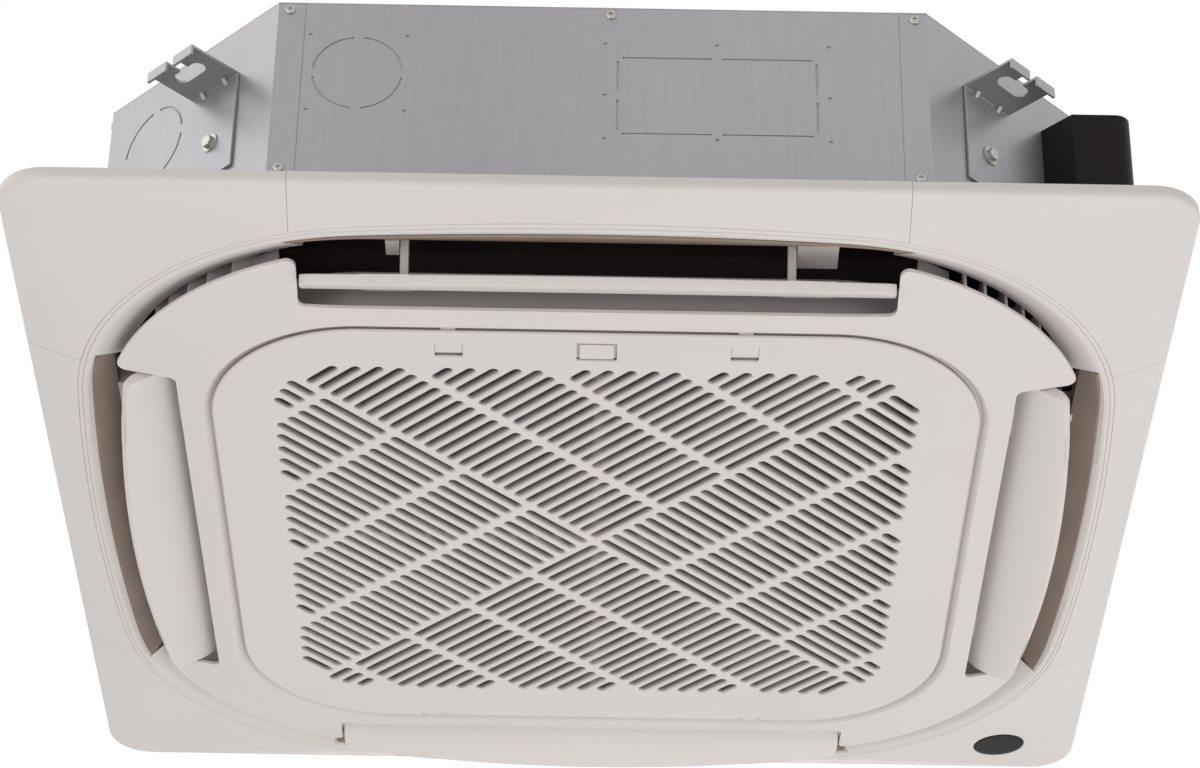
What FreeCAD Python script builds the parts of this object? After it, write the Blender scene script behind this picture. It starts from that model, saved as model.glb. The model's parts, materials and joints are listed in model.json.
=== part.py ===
import FreeCAD, Part
import math
import os
import re
from FreeCAD import Placement, Rotation, Vector

# Ceiling cassette air conditioner, four-way, in millimetres.
# Frame: +X right, +Y away from the front, +Z up. The origin is the centre of the unit on the
# ceiling plane, which is the top of the panel's rim. The casing stands above it, in the ceiling.

SIZES = {
    # decoration panel
    "panel_width": 950, "panel_corner": 40, "rim_edge": 6, "rim_round": 3, "rim_depth": 11.5,
    "rim_wall": 9, "panel_skin": 5.5, "lip_depth": 27.5, "lip_half": 442.5, "lip_side_radius": 2450,
    "lip_diagonal": 343, "lip_land": 2.5, "flare_width": 30, "throat_depth": 17.5,
    "collar_wall": 4, "collar_top": 9, "flare_floor": 12,
    "outlet_half": 252, "outlet_outer": 405, "outlet_wall": 5, "outlet_wall_end": 5,
    "cover_seam": 245, "cover_skin": 2.5, "cover_lip_gap": 9, "seam_gap": 0.3,
    "liner_skin": 1.6, "liner_half": 248, "bury": 0.5, "overshoot": 1,
    # inner panel
    "disc_depth": 46, "disc_skin": 3, "disc_corner_radius": 246, "disc_corner_centre": 166,
    "dish_flat": 2, "dish_run": 90, "dish_rise": 18, "dish_skin": 3,
    "notch_half": 241, "notch_inner": 349, "notch_round": 6, "disc_tip_round": 7,
    "opening_half": 323.5, "opening_corner": 131, "opening_bevel": 6,
    "upstand_half": 325, "upstand_wall": 3, "vane_skin": 2.4, "vane_count": 6, "vane_pitch": 21,
    "vane_top": 1, "end_block_inner": 258, "end_block_outer": 284,
    # louvers
    "louver_half": 238.5, "louver_inner": 358.5, "louver_end_outer": 415, "louver_mid_outer": 432,
    "louver_skin": 2.6, "louver_flange": 9, "louver_end_round": 10,
    "louver_open_angle": 30, "pivot_radius": 398, "pivot_height": 2, "pivot_pin": 3,
    "pin_clearance": 0.05, "arm_offset": 155, "arm_thick": 6.5, "arm_head": 6, "arm_root": 26,
    "arm_clearance": 0.5,
    "bracket_gap": 0.8, "bracket_thick": 11, "bracket_depth": 19, "bracket_drop": 15,
    "motor_width": 33, "motor_depth": 31, "motor_drop": 13, "pin_reach": 9,
    # intake grille
    "grille_half": 322, "grille_corner": 130, "grille_skin": 3, "bar_depth": 8, "slot_field": 269,
    "slot_field_corner": 60, "bar_margin": 7, "slot_pitch": 13.4, "slot_width": 7.6, "rib_pitches": 6,
    "rib_width": 8, "slot_shortest": 12, "hinge_y": 320.5, "hinge_depth": 39.8, "hinge_pin": 1.8,
    "hinge_x": 150, "hook_width": 10, "hook_depth": 9, "ear_offset": 9, "ear_thick": 3, "ear_gap": 0.7,
    "latch_x": 121, "latch_y": 297.5, "latch_window_x": 23, "latch_window_y": 19,
    "latch_travel": 6, "latch_plate_margin": 5, "latch_plate": 1.6, "latch_gap": 0.3,
    "latch_tongue": 12, "cover_x": 28, "cover_y": 20,
    "filter_half": 290, "filter_corner": 80, "filter_band": 12, "filter_thick": 4, "mesh_thick": 0.8,
    "filter_rib": 5,
    # casing
    "body_width": 840, "body_flat": 535, "body_top": 216, "body_bottom": 12, "sheet": 1,
    "corner_flange": 22.5, "sheet_gap": 0.2,
    "round_knockout": 75, "round_x": -199.5, "round_z": 143, "slit": 1.8, "bridge": 9,
    "round_hole_x": 80, "round_hole_z": 78, "screw_hole": 3.5,
    "plate_left": 12.5, "plate_right": 177, "plate_low": 84, "plate_high": 164, "plate_border": 9.5,
    "chamfer_knockout_offset": 46, "chamfer_knockout_z": 147,
    "insulation": 16, "insulation_top": 8, "insulation_gap": 0.4,
    # hangers
    "hang_x": 340, "hang_y": 390, "hanger_width": 56, "hanger_sheet": 2.5, "hanger_z": 166,
    "hanger_reach": 52, "hanger_drop": 96, "hanger_lip": 10, "dart_reach": 8, "dart_width": 4,
    "hang_slot_width": 13, "hang_slot_length": 32, "hang_mouth": 9, "hanger_bolt_drop": 60, "bolt_head": 10, "bolt_head_high": 4,
    "washer_radius": 8.5, "washer_thick": 1.2,
    "case_screw_head": 4.5, "case_screw_high": 2.2, "case_screw_x": 258, "side_screw_x": 7,
    "screw_top_z": 208, "screw_low_z": 44.5,
    # air path and refrigerant side
    "pan_top": 45, "pan_trough": 30, "coil_outer": 345, "coil_thick": 36, "coil_corner": 85,
    "coil_top": 198, "coil_gap_corner": 236, "trough_margin": 6, "pan_eye": 214, "pan_slot_inner": 352,
    "pan_gap": 0.4, "inlet_flange": 236, "inlet_throat": 186, "inlet_skin": 2.5, "inlet_top": 54,
    "fan_radius": 226, "fan_eye": 196, "fan_low": 46, "fan_back_z": 172, "fan_skin": 3, "fan_blades": 7,
    "blade_sweep": 38, "fan_shroud_rise": 22, "hub_radius": 84, "hub_low_z": 120, "blade_inner": 130, "blade_skin": 3,
    "shaft_radius": 6, "shaft_low": 102, "shaft_high": 180, "motor_radius": 74, "motor_low": 134,
    "motor_high": 207, "mount_radius": 104, "nut_radius": 11, "nut_high": 8,
    "header_radius": 9.5, "header_levels": 5, "header_x": 318, "header_y": 244, "tube_radius": 4.8,
    "gas_radius": 7.94, "liquid_radius": 4.76, "drain_radius": 16, "stub_out": 40, "gas_y": -60,
    "liquid_y": -105, "drain_y": 70, "stub_z": 120, "drain_z": 150, "pipe_wall": 1,
    "flare_nut_radius": 13, "flare_nut_long": 18,
    # condensate pump
    "pump_x": 305, "pump_y": -305, "pump_radius": 27, "pump_low": 98, "pump_high": 152,
    "chamber_radius": 15, "chamber_low": 52, "chamber_wall": 2, "impeller_radius": 11.5,
    "impeller_low": 56, "impeller_high": 84, "spindle_radius": 2,
    "float_dx": -46, "stem_radius": 3, "stem_low": 46, "stem_high": 128, "float_radius": 12,
    "float_low": 48.3, "float_high": 66, "stop_radius": 5, "float_arm": 6,
    # electrics
    "box_half": 130, "box_near": 240, "box_far": 315, "box_low": -17, "box_skin": 2, "lid_skin": 2,
    "board_half": 84, "board_margin": 10, "board_z": -4, "board_skin": 1.6, "block_long": 34,
    "block_wide": 40, "block_high": 16, "component_high": 9,
    # side cover over the pipe corner, and the receiver window
    "cover_reach": 33, "cover_out": 25, "cover_end": -150, "cover_low": 34, "cover_high": 176,
    "cover_wall": 2.5, "cover_round": 13, "cover_on_chamfer": 40,
    "window_from_side": 76, "window_from_back": 65, "window_radius": 25, "window_gap": 0.2,
}

document = FreeCAD.newDocument("ceiling_cassette")
sheet = document.addObject("Spreadsheet::Sheet", "Sizes")
for row, (alias, value) in enumerate(SIZES.items(), start=1):
    sheet.set("A%d" % row, alias)
    sheet.set("B%d" % row, str(value))
    sheet.setAlias("B%d" % row, alias)
document.recompute()

ALIAS = re.compile(r"\b(" + "|".join(sorted(SIZES, key=len, reverse=True)) + r")\b")
UP = Vector(0, 0, 1)
SEW_TOLERANCE = 1e-4
nodes = {}


def size(alias):
    """A driving dimension, read from the sheet."""
    return float(sheet.get(alias))


def bound(text):
    """An expression on the sheet's cells."""
    return ALIAS.sub(r"Sizes.\1", text)


def named(name, obj):
    """Register an object of the document as the sub-part called name."""
    obj.Label = name
    nodes[name] = obj
    return obj


def solid(name, shape):
    """A sub-part whose shape is worked out from the sheet's sizes."""
    obj = document.addObject("Part::Feature", name)
    obj.Shape = shape
    return named(name, obj)


def box(sizes, corner, turn=None):
    """A box with bound sizes, its low corner at bound coordinates."""
    obj = document.addObject("Part::Box", "block")
    for prop, text in zip(("Length", "Width", "Height"), sizes):
        obj.setExpression(prop, bound(text))
    for axis, text in zip("xyz", corner):
        obj.setExpression("Placement.Base." + axis, bound(text))
    if turn is not None:
        obj.Placement.Rotation = Rotation(UP, turn)
    return obj


def rod(radius, length, start, along=UP):
    """A cylinder with a bound radius and length from a bound start point."""
    obj = document.addObject("Part::Cylinder", "rod")
    obj.setExpression("Radius", bound(radius))
    obj.setExpression("Height", bound(length))
    obj.Placement.Rotation = Rotation(UP, along)
    for axis, text in zip("xyz", start):
        obj.setExpression("Placement.Base." + axis, bound(text))
    return obj


def fuse(*shapes):
    """The union of document objects."""
    obj = document.addObject("Part::MultiFuse", "joined")
    obj.Shapes = list(shapes)
    return obj


def cut(base, *tools):
    """A document object with others taken out of it."""
    obj = document.addObject("Part::Cut", "cut")
    obj.Base = base
    obj.Tool = tools[0] if len(tools) == 1 else fuse(*tools)
    return obj


def common(first, second):
    """What two document objects share."""
    obj = document.addObject("Part::MultiCommon", "shared")
    obj.Shapes = [first, second]
    return obj


def turned(shape, quarter_turns):
    """A copy of a shape turned about the unit's vertical axis."""
    copy = shape.copy()
    copy.rotate(Vector(), UP, 90 * quarter_turns)
    return copy


def line(a, b):
    return Part.LineSegment(a, b).toShape()


def arc(a, b, c):
    return Part.Arc(a, b, c).toShape()


def prism(wire, height):
    return Part.Face(wire).extrude(Vector(0, 0, height))


def block(x0, y0, z0, x1, y1, z1):
    return Part.makeBox(x1 - x0, y1 - y0, z1 - z0, Vector(x0, y0, z0))


def square_wire(half, corner, z):
    """A square outline with round corners, starting on the front side's left end."""
    edges = []
    flat = half - corner
    diagonal = flat + corner * math.sqrt(0.5)
    for turn in range(4):
        spin = Rotation(UP, 90 * turn)
        side_a = spin.multVec(Vector(-flat, -half, z))
        side_b = spin.multVec(Vector(flat, -half, z))
        middle = spin.multVec(Vector(diagonal, -diagonal, z))
        side_c = spin.multVec(Vector(half, -flat, z))
        edges += [line(side_a, side_b), arc(side_b, middle, side_c)]
    return Part.Wire(edges)


class LipOutline:
    """The panel's round-cornered opening: four flat arcs joined tangentially by corner arcs."""

    def __init__(self):
        self.half = size("lip_half")
        self.side = size("lip_side_radius")
        diagonal = size("lip_diagonal")
        drop = self.side - self.half
        reach = self.side - diagonal * math.sqrt(2)
        self.centre = (reach ** 2 - drop ** 2) / (2 * drop - 2 * math.sqrt(2) * reach)
        self.corner = (diagonal - self.centre) * math.sqrt(2)

    def join_x(self, grow=0.0):
        """Where the flat arc of the front side meets the corner arc."""
        drop = self.side - self.half
        span = math.hypot(self.centre, self.centre + drop)
        return (self.side + grow) * self.centre / span

    def reach(self, x, grow=0.0):
        """How far from the middle the front side lies at x."""
        x = abs(x)
        if x <= self.join_x(grow):
            return math.sqrt((self.side + grow) ** 2 - x ** 2) - (self.side - self.half)
        return self.centre + math.sqrt((self.corner + grow) ** 2 - (x - self.centre) ** 2)

    def wire(self, grow, z):
        """The outline moved outwards by grow, at height z."""
        edges = []
        x = self.join_x(grow)
        y = self.reach(x, grow)
        corner = self.centre + (self.corner + grow) * math.sqrt(0.5)
        for turn in range(4):
            spin = Rotation(UP, 90 * turn)
            start = spin.multVec(Vector(-x, -y, z))
            middle = spin.multVec(Vector(0, -self.half - grow, z))
            stop = spin.multVec(Vector(x, -y, z))
            bend = spin.multVec(Vector(corner, -corner, z))
            after = spin.multVec(Vector(y, -x, z))
            edges += [arc(start, middle, stop), arc(stop, bend, after)]
        return Part.Wire(edges)


lip = LipOutline()


def panel_hull(inset):
    """The filled outer form of the panel, from the ceiling plane down to the lip."""
    half = size("panel_width") / 2 - inset
    corner = size("panel_corner") - inset
    edge = size("rim_edge")
    rounding = size("rim_round")
    depth = size("rim_depth")
    sections = [
        square_wire(half, corner, 0),
        square_wire(half, corner, inset - edge),
        square_wire(half - 0.3 * rounding, corner - 0.3 * rounding, inset - edge - 0.7 * rounding),
        square_wire(half - rounding, corner - rounding, inset - depth + 0.3 * rounding),
        square_wire(half - 2.2 * rounding, corner - 2.2 * rounding, inset - depth),
        lip.wire(size("lip_land"), inset - size("lip_depth")),
    ]
    return Part.makeLoft(sections, True, True)


def outlet_mouth():
    """The spaces from the middle to the front outlet: its mouth that widens to the lip, and its throat."""
    half = size("outlet_half")
    outer = size("outlet_outer")
    low = -size("lip_depth")
    throat = -size("throat_depth")
    top = size("collar_top") + size("overshoot")
    join = lip.join_x()
    xs = (-half, -join, join, half)

    def section(z, along_lip):
        points = [Vector(x, -(lip.reach(x) if along_lip else outer), z) for x in xs]
        start = Vector(-half, 0, z)
        stop = Vector(half, 0, z)
        edges = [line(start, points[0])]
        for a, b in zip(points, points[1:]):
            if along_lip:
                middle_x = (a.x + b.x) / 2
                edges.append(arc(a, Vector(middle_x, -lip.reach(middle_x), z), b))
            else:
                edges.append(line(a, b))
        edges += [line(points[-1], stop), line(stop, start)]
        return Part.Wire(edges)

    mouth = Part.makeLoft([section(low, True), section(throat, False)], True, True)
    below = prism(section(low - size("overshoot"), True), size("overshoot"))
    throat_space = prism(section(throat, False), top - throat)
    return [mouth, below, throat_space]


def corner_region(near, low, high):
    """The front right corner of the unit, beyond near on both sides."""
    far = size("panel_width")
    return block(near, -far, low, far, -near, high)


def outlet_spaces():
    """Everything the air leaves through inside the panel's lip: four corners and four outlets."""
    over = size("overshoot")
    low = -size("lip_depth")
    throat = -size("throat_depth")
    flare = -size("flare_width")
    top = size("collar_top") + over
    ring = Part.makeLoft([lip.wire(0, low - over), lip.wire(0, low), lip.wire(flare, throat),
                          lip.wire(flare, top)], True, True)
    corner = ring.common(corner_region(size("outlet_half") - size("bury"), low - over, top))
    return [turned(space, turn) for space in [corner] + outlet_mouth() for turn in range(4)]


def collar_block(low, high):
    """The block round the outlets, filled, whose wall reaches up to the casing."""
    half = size("outlet_half") + size("outlet_wall_end")
    reach = size("outlet_outer") + size("outlet_wall")
    outer = prism(lip.wire(size("collar_wall") - size("flare_width"), low), high - low)
    corner = outer.common(corner_region(half - size("bury"), low, high))
    side = block(-half, -reach, low, half, 0, high)
    pieces = [turned(piece, turn) for piece in (corner, side) for turn in range(4)]
    return pieces[0].fuse(pieces[1:])


def corner_prism(inset):
    """The space beyond the two seams of the front right corner cover."""
    return corner_region(size("cover_seam") + inset, -size("disc_depth"), size("disc_depth"))


def window_place(z):
    """The middle of the receiver's window, in the back right corner of the panel."""
    half = size("panel_width") / 2
    return Vector(half - size("window_from_side"), half - size("window_from_back"), z)


def make_panel_frame(hull, covers_space):
    """The moulded outer frame with its rim, lip, flared outlets and collar."""
    cavity_half = size("panel_width") / 2 - size("rim_wall")
    cavity_corner = size("panel_corner") - size("rim_wall")
    skin = size("panel_skin")
    low = size("lip_depth")
    cavity = Part.makeLoft(
        [square_wire(cavity_half, cavity_corner, size("overshoot")),
         square_wire(cavity_half, cavity_corner, skin - size("rim_depth")),
         lip.wire(size("lip_land") + skin, skin - low)], True, True)
    cavity = cavity.cut(prism(lip.wire(skin, -low), low + 2 * size("overshoot")))
    flare_pocket = prism(lip.wire(0, -size("flare_floor")), size("flare_floor") + size("overshoot"))
    collar = collar_block(-size("flare_floor"), size("collar_top"))
    flare_pocket = flare_pocket.cut(collar)
    frame = hull.cut([cavity, flare_pocket])
    frame = frame.fuse(collar)
    for space in outlet_spaces():
        frame = frame.cut(space)
    frame = frame.cut(covers_space)
    bore = Part.makeCylinder(size("window_radius") - size("rim_wall"), 2 * low, window_place(-low))
    return frame.cut(bore).removeSplitter()


def make_corner_covers(hull):
    """Four snap-on covers of the panel's corners, and the space that they fill."""
    gap = size("seam_gap")
    skin = size("cover_skin")
    shell = hull.cut(panel_hull(skin))
    room = hull.cut(panel_hull(skin + gap))
    lip_edge = prism(lip.wire(size("cover_lip_gap"), -size("disc_depth")), 2 * size("disc_depth"))
    lip_room = prism(lip.wire(size("cover_lip_gap") - gap, -size("disc_depth")), 2 * size("disc_depth"))
    covers = [shell.common(turned(corner_prism(gap), turn)).cut(lip_edge) for turn in range(4)]
    spaces = [room.common(turned(corner_prism(0), turn)).cut(lip_room) for turn in range(4)]
    window = Part.makeCylinder(size("window_radius"), 2 * size("disc_depth"), window_place(-size("disc_depth")))
    covers[1] = covers[1].cut(window)
    return covers, spaces[0].fuse(spaces[1:])


def disc_wire(grow, z):
    """The inner panel's outline: four round corners with a notch for each louver between them."""
    centre = size("disc_corner_centre")
    radius = size("disc_corner_radius") + grow
    half = size("notch_half") - grow
    inner = size("notch_inner") + grow
    tip = size("disc_tip_round") + grow
    root = size("notch_round") - grow
    edges = []
    tip_x = half + tip
    tip_y = centre + math.sqrt((radius - tip) ** 2 - (tip_x - centre) ** 2)
    out = Vector(tip_x - centre, -(tip_y - centre), 0).normalize()
    leave = Vector(tip_x, -tip_y, z) + out * tip
    half_way = (out + Vector(-1, 0, 0)).normalize()
    corner = centre + radius * math.sqrt(0.5)
    for turn in range(4):
        spin = Rotation(UP, 90 * turn)

        def at(x, y):
            return spin.multVec(Vector(x, y, z))

        bend = root * (1 - math.sqrt(0.5))
        edges.append(line(at(-half + root, -inner), at(half - root, -inner)))
        edges.append(arc(at(half - root, -inner), at(half - bend, -inner - bend), at(half, -inner - root)))
        edges.append(line(at(half, -inner - root), at(half, -tip_y)))
        middle = Vector(tip_x, -tip_y, z) + half_way * tip
        edges.append(arc(at(half, -tip_y), at(middle.x, middle.y), at(leave.x, leave.y)))
        edges.append(arc(at(leave.x, leave.y), at(corner, -corner), at(-leave.y, -leave.x)))
        edges.append(arc(at(-leave.y, -leave.x), at(-middle.y, -middle.x), at(tip_y, -half)))
        edges.append(line(at(tip_y, -half), at(inner + root, -half)))
        edges.append(arc(at(inner + root, -half), at(inner + bend, -half + bend), at(inner, -half + root)))
    return Part.Wire(edges)


def over_disc(lift):
    """The space over the disc's face, which leans up from the grille's opening, moved up by lift."""
    low = -size("disc_depth") + lift
    run = size("dish_run")
    rise = size("dish_rise")
    half = size("opening_half") + size("opening_bevel") + size("dish_flat")
    corner = size("opening_corner") + size("opening_bevel") + size("dish_flat")
    high = low + rise
    wide = square_wire(half + run, corner + run, high)
    lean = Part.makeLoft([square_wire(half, corner, low), wide], True, True)
    return lean.fuse(prism(wide, size("disc_depth")))


def make_inner_panel():
    """The disc below the outlets, its upstand, the corner guide vanes and the outlet end blocks."""
    low = -size("disc_depth")
    skin = size("disc_skin")
    top = size("collar_top")
    disc = prism(disc_wire(0, low), size("disc_depth")).common(over_disc(0)).cut(over_disc(size("dish_skin")))
    bevel = size("opening_bevel")
    mouth_half = size("opening_half")
    mouth_corner = size("opening_corner")
    mouth = Part.makeLoft(
        [square_wire(mouth_half + bevel, mouth_corner + bevel, low),
         square_wire(mouth_half, mouth_corner, low + bevel),
         square_wire(mouth_half, mouth_corner, low + 2 * bevel)], True, True)
    inner = size("upstand_half")
    outer = inner + size("upstand_wall")
    corner = mouth_corner + inner - mouth_half
    floor = low + skin
    rim = prism(square_wire(mouth_half + 3 * bevel, mouth_corner + 3 * bevel, low), 2 * bevel)
    rim = rim.common(over_disc(0))
    wall = prism(square_wire(outer, corner + size("upstand_wall"), floor), top - floor)
    well = prism(square_wire(inner, corner, low + bevel + skin), top - low)
    bury = size("bury")
    core = prism(square_wire(outer - bury, corner + size("upstand_wall") - bury, low), top - low)
    gap = size("seam_gap")
    ring = prism(lip.wire(-size("flare_width") - gap, floor), top - floor)
    vanes = []
    count = int(size("vane_count"))
    vane_top = size("vane_top")
    centre = size("disc_corner_centre")
    vane_arc = size("disc_corner_radius") - size("flare_width")
    for index in range(count):
        angle = 45 + math.degrees((index - (count - 1) / 2) * size("vane_pitch") / vane_arc)
        vane = block(0, -size("vane_skin") / 2, floor, 2 * inner, size("vane_skin") / 2, vane_top)
        vane.rotate(Vector(), UP, -angle)
        vane.translate(Vector(centre, -centre, 0))
        vanes.append(vane)
    block_a = size("end_block_inner")
    block_b = size("end_block_outer")
    near = size("notch_inner") / 2
    far = size("panel_width")
    ends = [block(block_a, -far, floor, block_b, -near, vane_top),
            block(near, -block_b, floor, far, -block_a, vane_top)]
    corner_set = vanes[0].fuse(vanes[1:] + ends).common(ring)
    corner_set = corner_set.common(over_disc(size("dish_skin") / 2)).cut(core)
    corners = [turned(corner_set, turn) for turn in range(4)]
    ears = []
    ear_y = size("hinge_y")
    ear_z = -size("hinge_depth")
    ear_low = low + size("grille_skin") + size("ear_gap")
    for side in (-1, 1):
        for offset in (-1, 1):
            x = side * size("hinge_x") + offset * size("ear_offset") - size("ear_thick") / 2
            ear = block(x, ear_y - 2 * size("hinge_pin"), ear_low, x + size("ear_thick"), inner + bury,
                        ear_z + 2.2 * size("hinge_pin"))
            hole = Part.makeCylinder(size("hinge_pin") + size("pin_clearance"), 2 * size("ear_thick"),
                                     Vector(x - size("ear_thick") / 2, ear_y, ear_z), Vector(1, 0, 0))
            ears.append(ear.cut(hole))
    panel = disc.fuse([rim, wall] + corners).cut([mouth, well])
    return panel.fuse(ears).removeSplitter()


def louver_profile(grow, z):
    """The louver's outline in its closed place: straight inside, round outside, soft corners."""
    half = size("louver_half") + grow
    inner = size("louver_inner") - grow
    end = size("louver_end_outer") + grow
    middle = size("louver_mid_outer") + grow
    rounding = size("louver_end_round") + grow
    radius = (half ** 2 + (middle - end) ** 2) / (2 * (middle - end))
    centre = middle - radius
    tip_x = half - rounding
    tip_y = centre + math.sqrt((radius - rounding) ** 2 - tip_x ** 2)
    out = Vector(tip_x, -(tip_y - centre), 0).normalize()
    leave = Vector(tip_x, -tip_y, z) + out * rounding
    bend = Vector(tip_x, -tip_y, z) + (out + Vector(1, 0, 0)).normalize() * rounding
    edges = [
        line(Vector(-half, -inner, z), Vector(half, -inner, z)),
        line(Vector(half, -inner, z), Vector(half, -tip_y, z)),
        arc(Vector(half, -tip_y, z), bend, leave),
        arc(leave, Vector(0, -middle, z), Vector(-leave.x, leave.y, z)),
        arc(Vector(-leave.x, leave.y, z), Vector(-bend.x, bend.y, z), Vector(-half, -tip_y, z)),
        line(Vector(-half, -tip_y, z), Vector(-half, -inner, z)),
    ]
    return Part.Wire(edges)


def make_louver():
    """The front louver: a dished blade on two arms that hang from its pivot, turned open."""
    low = -size("disc_depth")
    skin = size("louver_skin")
    flange = size("louver_flange")
    blade = prism(louver_profile(0, low), flange)
    dish = prism(louver_profile(-skin, low + skin), flange)
    inner_relief = block(-size("panel_width"), -size("louver_inner") - 2 * skin, low + skin,
                         size("panel_width"), 0, low + 2 * flange)
    blade = blade.cut([dish, inner_relief])
    pivot = Vector(0, -size("pivot_radius"), size("pivot_height"))
    pieces = []
    arm = size("arm_thick")
    head = size("arm_head")
    root = size("arm_root")
    outer = -size("outlet_outer") + size("seam_gap") + size("liner_skin") + size("arm_clearance")
    for side in (-1, 1):
        x = side * size("arm_offset") - arm / 2
        foot = low + skin - size("bury")
        outline = Part.makePolygon([
            Vector(x, outer, pivot.z), Vector(x, pivot.y + head, pivot.z),
            Vector(x, pivot.y + root / 2, foot), Vector(x, outer, foot), Vector(x, outer, pivot.z)])
        plate = Part.Face(outline).extrude(Vector(arm, 0, 0))
        knuckle = Part.makeCylinder(head, arm, Vector(x, pivot.y, pivot.z), Vector(1, 0, 0))
        reach = arm / 2 + size("pin_reach")
        start = Vector(side * size("arm_offset"), pivot.y, pivot.z)
        pin = Part.makeCylinder(size("pivot_pin"), reach, start, Vector(side, 0, 0))
        pieces += [plate, knuckle, pin]
    louver = blade.fuse(pieces).removeSplitter()
    louver.rotate(pivot, Vector(1, 0, 0), size("louver_open_angle"))
    return louver


def louver_support(side, thick, depth, drop):
    """A carrier beside a louver arm, fixed to the outlet's outer wall, with the pivot's hole."""
    inner_x = size("arm_offset") + size("arm_thick") / 2 + size("bracket_gap")
    reach = size("outlet_outer") - size("seam_gap")
    x0 = inner_x if side > 0 else -inner_x - thick
    body = block(x0, -reach, -drop, x0 + thick, -reach + depth, size("collar_top"))
    over = size("overshoot")
    hole = Part.makeCylinder(size("pivot_pin") + size("pin_clearance"), thick + 2 * over,
                             Vector(x0 - over, -size("pivot_radius"), size("pivot_height")), Vector(1, 0, 0))
    return body.cut(hole)


def slot_wire(start, stop, z):
    """A slot with round ends between two points of its centre line."""
    along = (stop - start).normalize()
    across = Vector(-along.y, along.x, 0) * (size("slot_width") / 2)
    tip = along * (size("slot_width") / 2)
    lift = Vector(0, 0, z)
    a, b = start + tip + across + lift, stop - tip + across + lift
    c, d = stop - tip - across + lift, start + tip - across + lift
    return Part.Wire([line(a, b), arc(b, stop + lift, c), line(c, d), arc(d, start + lift, a)])


def inside_field(point):
    """Whether a point lies in the slotted field, clear of its round-cornered border."""
    half = size("slot_field")
    corner = size("slot_field_corner")
    dx = max(abs(point.x) - (half - corner), 0)
    dy = max(abs(point.y) - (half - corner), 0)
    return math.hypot(dx, dy) <= corner


def slot_spans():
    """The centre lines of the slots: four quarters of parallel slots, each turned from the last."""
    pitch = size("slot_pitch")
    rib = size("rib_pitches") * pitch
    gap = size("rib_width") / 2
    reach = size("slot_field") * math.sqrt(2)
    step = size("slot_width") / 4
    spans = []
    diagonal = Vector(1, -1, 0).normalize()
    for quarter in range(4):
        along = Rotation(UP, 90 * quarter).multVec(diagonal)
        back = Rotation(UP, 90 * quarter).multVec(Vector(-1, -1, 0).normalize())
        for row in range(int(reach / pitch)):
            offset = back * ((row + 0.5) * pitch)
            for bay in range(int(reach / rib) + 1):
                samples = int((rib - 2 * gap) / step)
                points = [offset + along * (bay * rib + gap + (rib - 2 * gap) * n / samples)
                          for n in range(samples + 1)]
                points = [p for p in points if inside_field(p)]
                if len(points) > 1 and (points[-1] - points[0]).Length >= size("slot_shortest"):
                    spans.append((points[0], points[-1]))
    return spans


def rectangle_wire(x, y, width, depth, z):
    """An upright rectangle about a middle point."""
    a, b = width / 2, depth / 2
    return Part.makePolygon([Vector(x - a, y - b, z), Vector(x + a, y - b, z), Vector(x + a, y + b, z),
                             Vector(x - a, y + b, z), Vector(x - a, y - b, z)])


def make_intake_grille():
    """The drop-down grille: a flat border and deep slotted bars, in one piece, with hinge hooks."""
    low = -size("disc_depth")
    skin = low + size("grille_skin")
    top = low + size("bar_depth")
    half = size("grille_half")
    corner = size("grille_corner")
    deep_half = size("slot_field") + size("bar_margin")
    deep_corner = size("slot_field_corner") + size("bar_margin")
    windows = [rectangle_wire(side * size("latch_x"), -size("latch_y"), size("latch_window_x"),
                              size("latch_window_y"), low) for side in (-1, 1)]
    windows.append(rectangle_wire(0, -size("latch_y"), size("cover_x") + 2 * size("seam_gap"),
                                  size("cover_y") + 2 * size("seam_gap"), low))
    spans = slot_spans()

    def lifted(wire, z):
        copy = wire.copy()
        copy.translate(Vector(0, 0, z - low))
        return copy

    slots = [slot_wire(a, b, low) for a, b in spans]
    edge = square_wire(half, corner, low)
    deep = square_wire(deep_half, deep_corner, low)
    faces = [Part.Face([edge] + slots + windows)]
    faces.append(Part.Face([lifted(edge, skin), lifted(deep, skin)] + [lifted(w, skin) for w in windows]))
    faces.append(Part.Face([lifted(deep, top)] + [lifted(w, top) for w in slots]))
    faces += edge.extrude(Vector(0, 0, skin - low)).Faces
    faces += lifted(deep, skin).extrude(Vector(0, 0, top - skin)).Faces
    for wire in slots:
        faces += wire.extrude(Vector(0, 0, top - low)).Faces
    for wire in windows:
        faces += wire.extrude(Vector(0, 0, skin - low)).Faces
    shell = Part.makeCompound(faces)
    shell.sewShape()
    grille = Part.Solid(shell.Shells[0])
    grille.fix(SEW_TOLERANCE, SEW_TOLERANCE, SEW_TOLERANCE)

    y = size("hinge_y")
    z = -size("hinge_depth")
    pin = size("hinge_pin")
    over = size("overshoot")
    hooks = []
    notches = []
    for side in (-1, 1):
        x = side * size("hinge_x")
        wide = size("hook_width")
        hooks.append(block(x - wide / 2, y - size("hook_depth"), skin - size("bury"), x + wide / 2,
                           y + pin / 2, z + pin))
        reach = size("ear_offset") + size("ear_thick")
        hooks.append(Part.makeCylinder(pin, 2 * reach, Vector(x - reach, y, z), Vector(1, 0, 0)))
        for offset in (-1, 1):
            ear_x = x + offset * size("ear_offset")
            room = size("ear_thick") / 2 + size("ear_gap")
            notches.append(block(ear_x - room, y - 2.5 * pin, low - over, ear_x + room, half + over, skin + over))
    return grille.cut(notches).fuse(hooks)


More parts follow.
